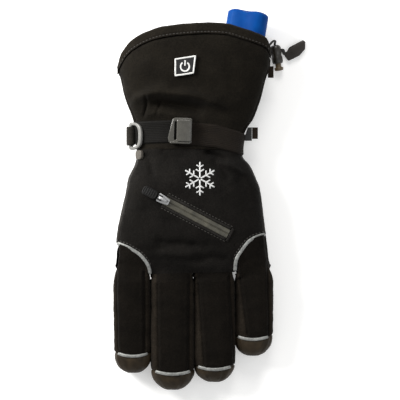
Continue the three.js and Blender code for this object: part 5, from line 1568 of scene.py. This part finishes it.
# Battery pack: two round cells side by side in blue shrink wrap, half pushed into the gauntlet. The wrap
# is drawn in over the cells' ends, with a soft overlap along its length.
CELL, PACK_LENGTH, PACK_OUT, PACK_TURN, PACK_ROLL = 18.3, 70.0, 14.5, -9.0, 16.0
pack_y = WRIST_Y + CUFF_LENGTH + PACK_OUT - PACK_LENGTH / 2
pack_frame = frame_at((0.615 * PALM_HALF, pack_y, 0.38 * BODY_DEPTH), (PACK_TURN, "Z"), (-PACK_ROLL, "Y"))
wrap = Finish("battery_wrap", (0.0, 0.038, 0.19), 0.5, Specular_IOR_Level=0.06)
wrap.tint(wrap.ramp(wrap.noise(9.0, 4.0), 0.0, 0.6, 0.35, 0.7), (0.0, 0.055, 0.24))
wrap.rough(wrap.ramp(wrap.noise(3.0, 4.0), 0.42, 0.62))
wrap.bump(wrap.noise(4.0, 4.0), 0.25, 0.6)

# Place along the pack, and how far the wrap is drawn in there
stations = [(-35.0, 2.6), (-34.6, 1.2), (-33.8, 0.4), (-32.6, 0.0),
            *[(place, 0.0) for place in range(-30, 31, 3)],
            (31.6, 0.05), (32.8, 0.3), (33.7, 0.8), (34.3, 1.5), (34.7, 2.4), (34.95, 3.6), (35.05, 5.6)]
PACK_COLUMNS = 96
angles = np.linspace(0, 2 * math.pi, PACK_COLUMNS + 1)[:-1]
wrap_rows = []
for along, inset in stations:
    shift = np.clip(np.cos(angles) * 6, -1, 1) * CELL / 2
    radius = CELL / 2 - inset
    x = shift + radius * np.cos(angles)
    z = radius * np.sin(angles) * (1 - 0.075 * np.exp(-(x / 2.6) ** 2))
    dip = 1.5 * np.sign(along) * (np.abs(x) / (CELL / 2) - 1) ** 2 * min(inset, 1)
    wrap_rows.append(np.stack([x, np.full(PACK_COLUMNS, along) - dip, z], axis=1))
wrap_rows = np.stack(wrap_rows)
wrap_centre = wrap_rows * (0, 1, 0)
crinkle = 0.22 * wrinkles(wrap_rows, 5.0, (1, 0.5, 1), 3) + 0.12 * wrinkles(wrap_rows, 1.8, (1, 1, 1), 8)
wrap_rows = wrap_rows + unit(wrap_rows - wrap_centre) * (crinkle - 0.15)[..., None]
wrap_points, wrap_faces = drawn_together(wrap_rows)
turned = np.array(pack_frame.to_3x3())
wrap_points = wrap_points @ turned.T + np.array(pack_frame.translation)
battery = mesh_object("battery_two_cell_wrap", wrap_points, wrap_faces, wrap, wrap_points[:, :2])
sewn(battery, "glove", "battery_wrap", "battery_pack")

# Snowflake: a plain six-armed one in silver-white print on the back of the hand, a mark that winter gloves
# of all kinds carry.
silver_print = Finish("silver_print", (0.5, 0.505, 0.50), 0.45, Metallic=0.2)
silver_print.mottle(1.5, 0.75, 1.15, 4.0)
silver_print.bump(silver_print.noise(0.7), 0.04)
FLAKE_RADIUS = 14.5
flake_at = np.array(plan(200, 179))
flake = []


def flake_line(root, heading, start, stop, step, width):
    """One printed line of the flake, from and to distances along a heading"""
    ends = [root + heading * start, root + heading * stop]
    flake.append(strip_parts(dense(ends, step), width, 0.12, 0.12, 4))


for arm_number in range(6):
    angle = math.radians(30 + 60 * arm_number)
    out = np.array((math.cos(angle), math.sin(angle)))
    flake_line(flake_at, out, 0.9, FLAKE_RADIUS, 0.8, 1.3)
    for start, length in ((0.42, 0.28), (0.70, 0.24)):
        for turn in (-math.pi / 3, math.pi / 3):
            branch = np.array((math.cos(angle + turn), math.sin(angle + turn)))
            flake_line(flake_at + out * FLAKE_RADIUS * start, branch, 0.5, FLAKE_RADIUS * length, 0.7, 1.15)
snowflake = joined("snowflake_print", flake, silver_print)
sewn(snowflake, "glove", "button_print")

# Stitches: rows of thread along the hem, the welt and beside the knuckle piping. Each stitch is a short
# rounded bead of thread pulled a little into the cloth.
thread = Finish("black_thread", (0.021, 0.019, 0.016), 0.6, Specular_IOR_Level=0.4)
thread.mottle(2.0, 0.8, 1.3, 3.0, 0.0, 1.0)
thread.bump(thread.noise(0.4), 0.05)
BEAD_ROWS = ((-0.5, 0.0), (-0.42, 0.62), (-0.2, 1.0), (0.2, 1.0), (0.42, 0.62), (0.5, 0.0))
BEAD = np.array([(radius * math.cos(k * math.pi / 3), radius * math.sin(k * math.pi / 3), along)
                 for along, radius in BEAD_ROWS for k in range(6)])
STITCH_PITCH, STITCH_LENGTH, STITCH_WIDTH, STITCH_LIFT = 3.0, 2.1, 0.42, 0.1
BACK_FROM = 5                         # height above which a stitch lies on the back


def stitches(name, line):
    """Beads of thread on the glove's back along a line in plan"""
    line = np.asarray(line, float)
    walked = np.concatenate([[0], np.cumsum(np.linalg.norm(np.diff(line, axis=0), axis=1))])
    places = np.arange(STITCH_PITCH / 2, walked[-1], STITCH_PITCH)
    spots = np.stack([np.interp(places, walked, line[:, k]) for k in (0, 1)], axis=1)
    ahead = np.stack([np.interp(places + 0.3, walked, line[:, k]) for k in (0, 1)], axis=1)
    height = on_cloth(spots[:, 0], spots[:, 1])
    keep = height > BACK_FROM
    spots, ahead, height = spots[keep], ahead[keep], height[keep]
    normal = normal_at(spots[:, 0], spots[:, 1], on_cloth)
    heading = unit(np.column_stack([ahead - spots, on_cloth(ahead[:, 0], ahead[:, 1]) - height]))
    side = np.cross(normal, heading)
    parts = []
    for spot, up, forward, right in zip(np.column_stack([spots, height]), normal, heading, side):
        bead = BEAD[:, :1] * right * STITCH_WIDTH + BEAD[:, 1:2] * up * STITCH_WIDTH * 0.8
        points = spot + up * STITCH_LIFT + (bead + BEAD[:, 2:] * forward * STITCH_LENGTH)
        parts.append((points, grid_faces(6, 6, closed=True), points[:, :2]))
    return joined(name, parts, thread)


hem_x = np.linspace(-66, 64, 200)
rows_of_thread = [
    ("hem_stitches", np.stack([hem_x, rim_y(hem_x) - HEM + 1.4], axis=1)),
    ("welt_stitches_upper", tape_line + zip_side * 7.2),
    ("welt_stitches_lower", tape_line - zip_side * 7.0),
    ("index_piping_stitches", INDEX_SEAM[4:-8] + np.array((1.5, 2.2))),
    ("little_piping_stitches", LITTLE_SEAM[4:-8] + np.array((-1.5, 2.2))),
]
for name, line in rows_of_thread:
    sewn(stitches(name, line), "glove", "shell_cloth")
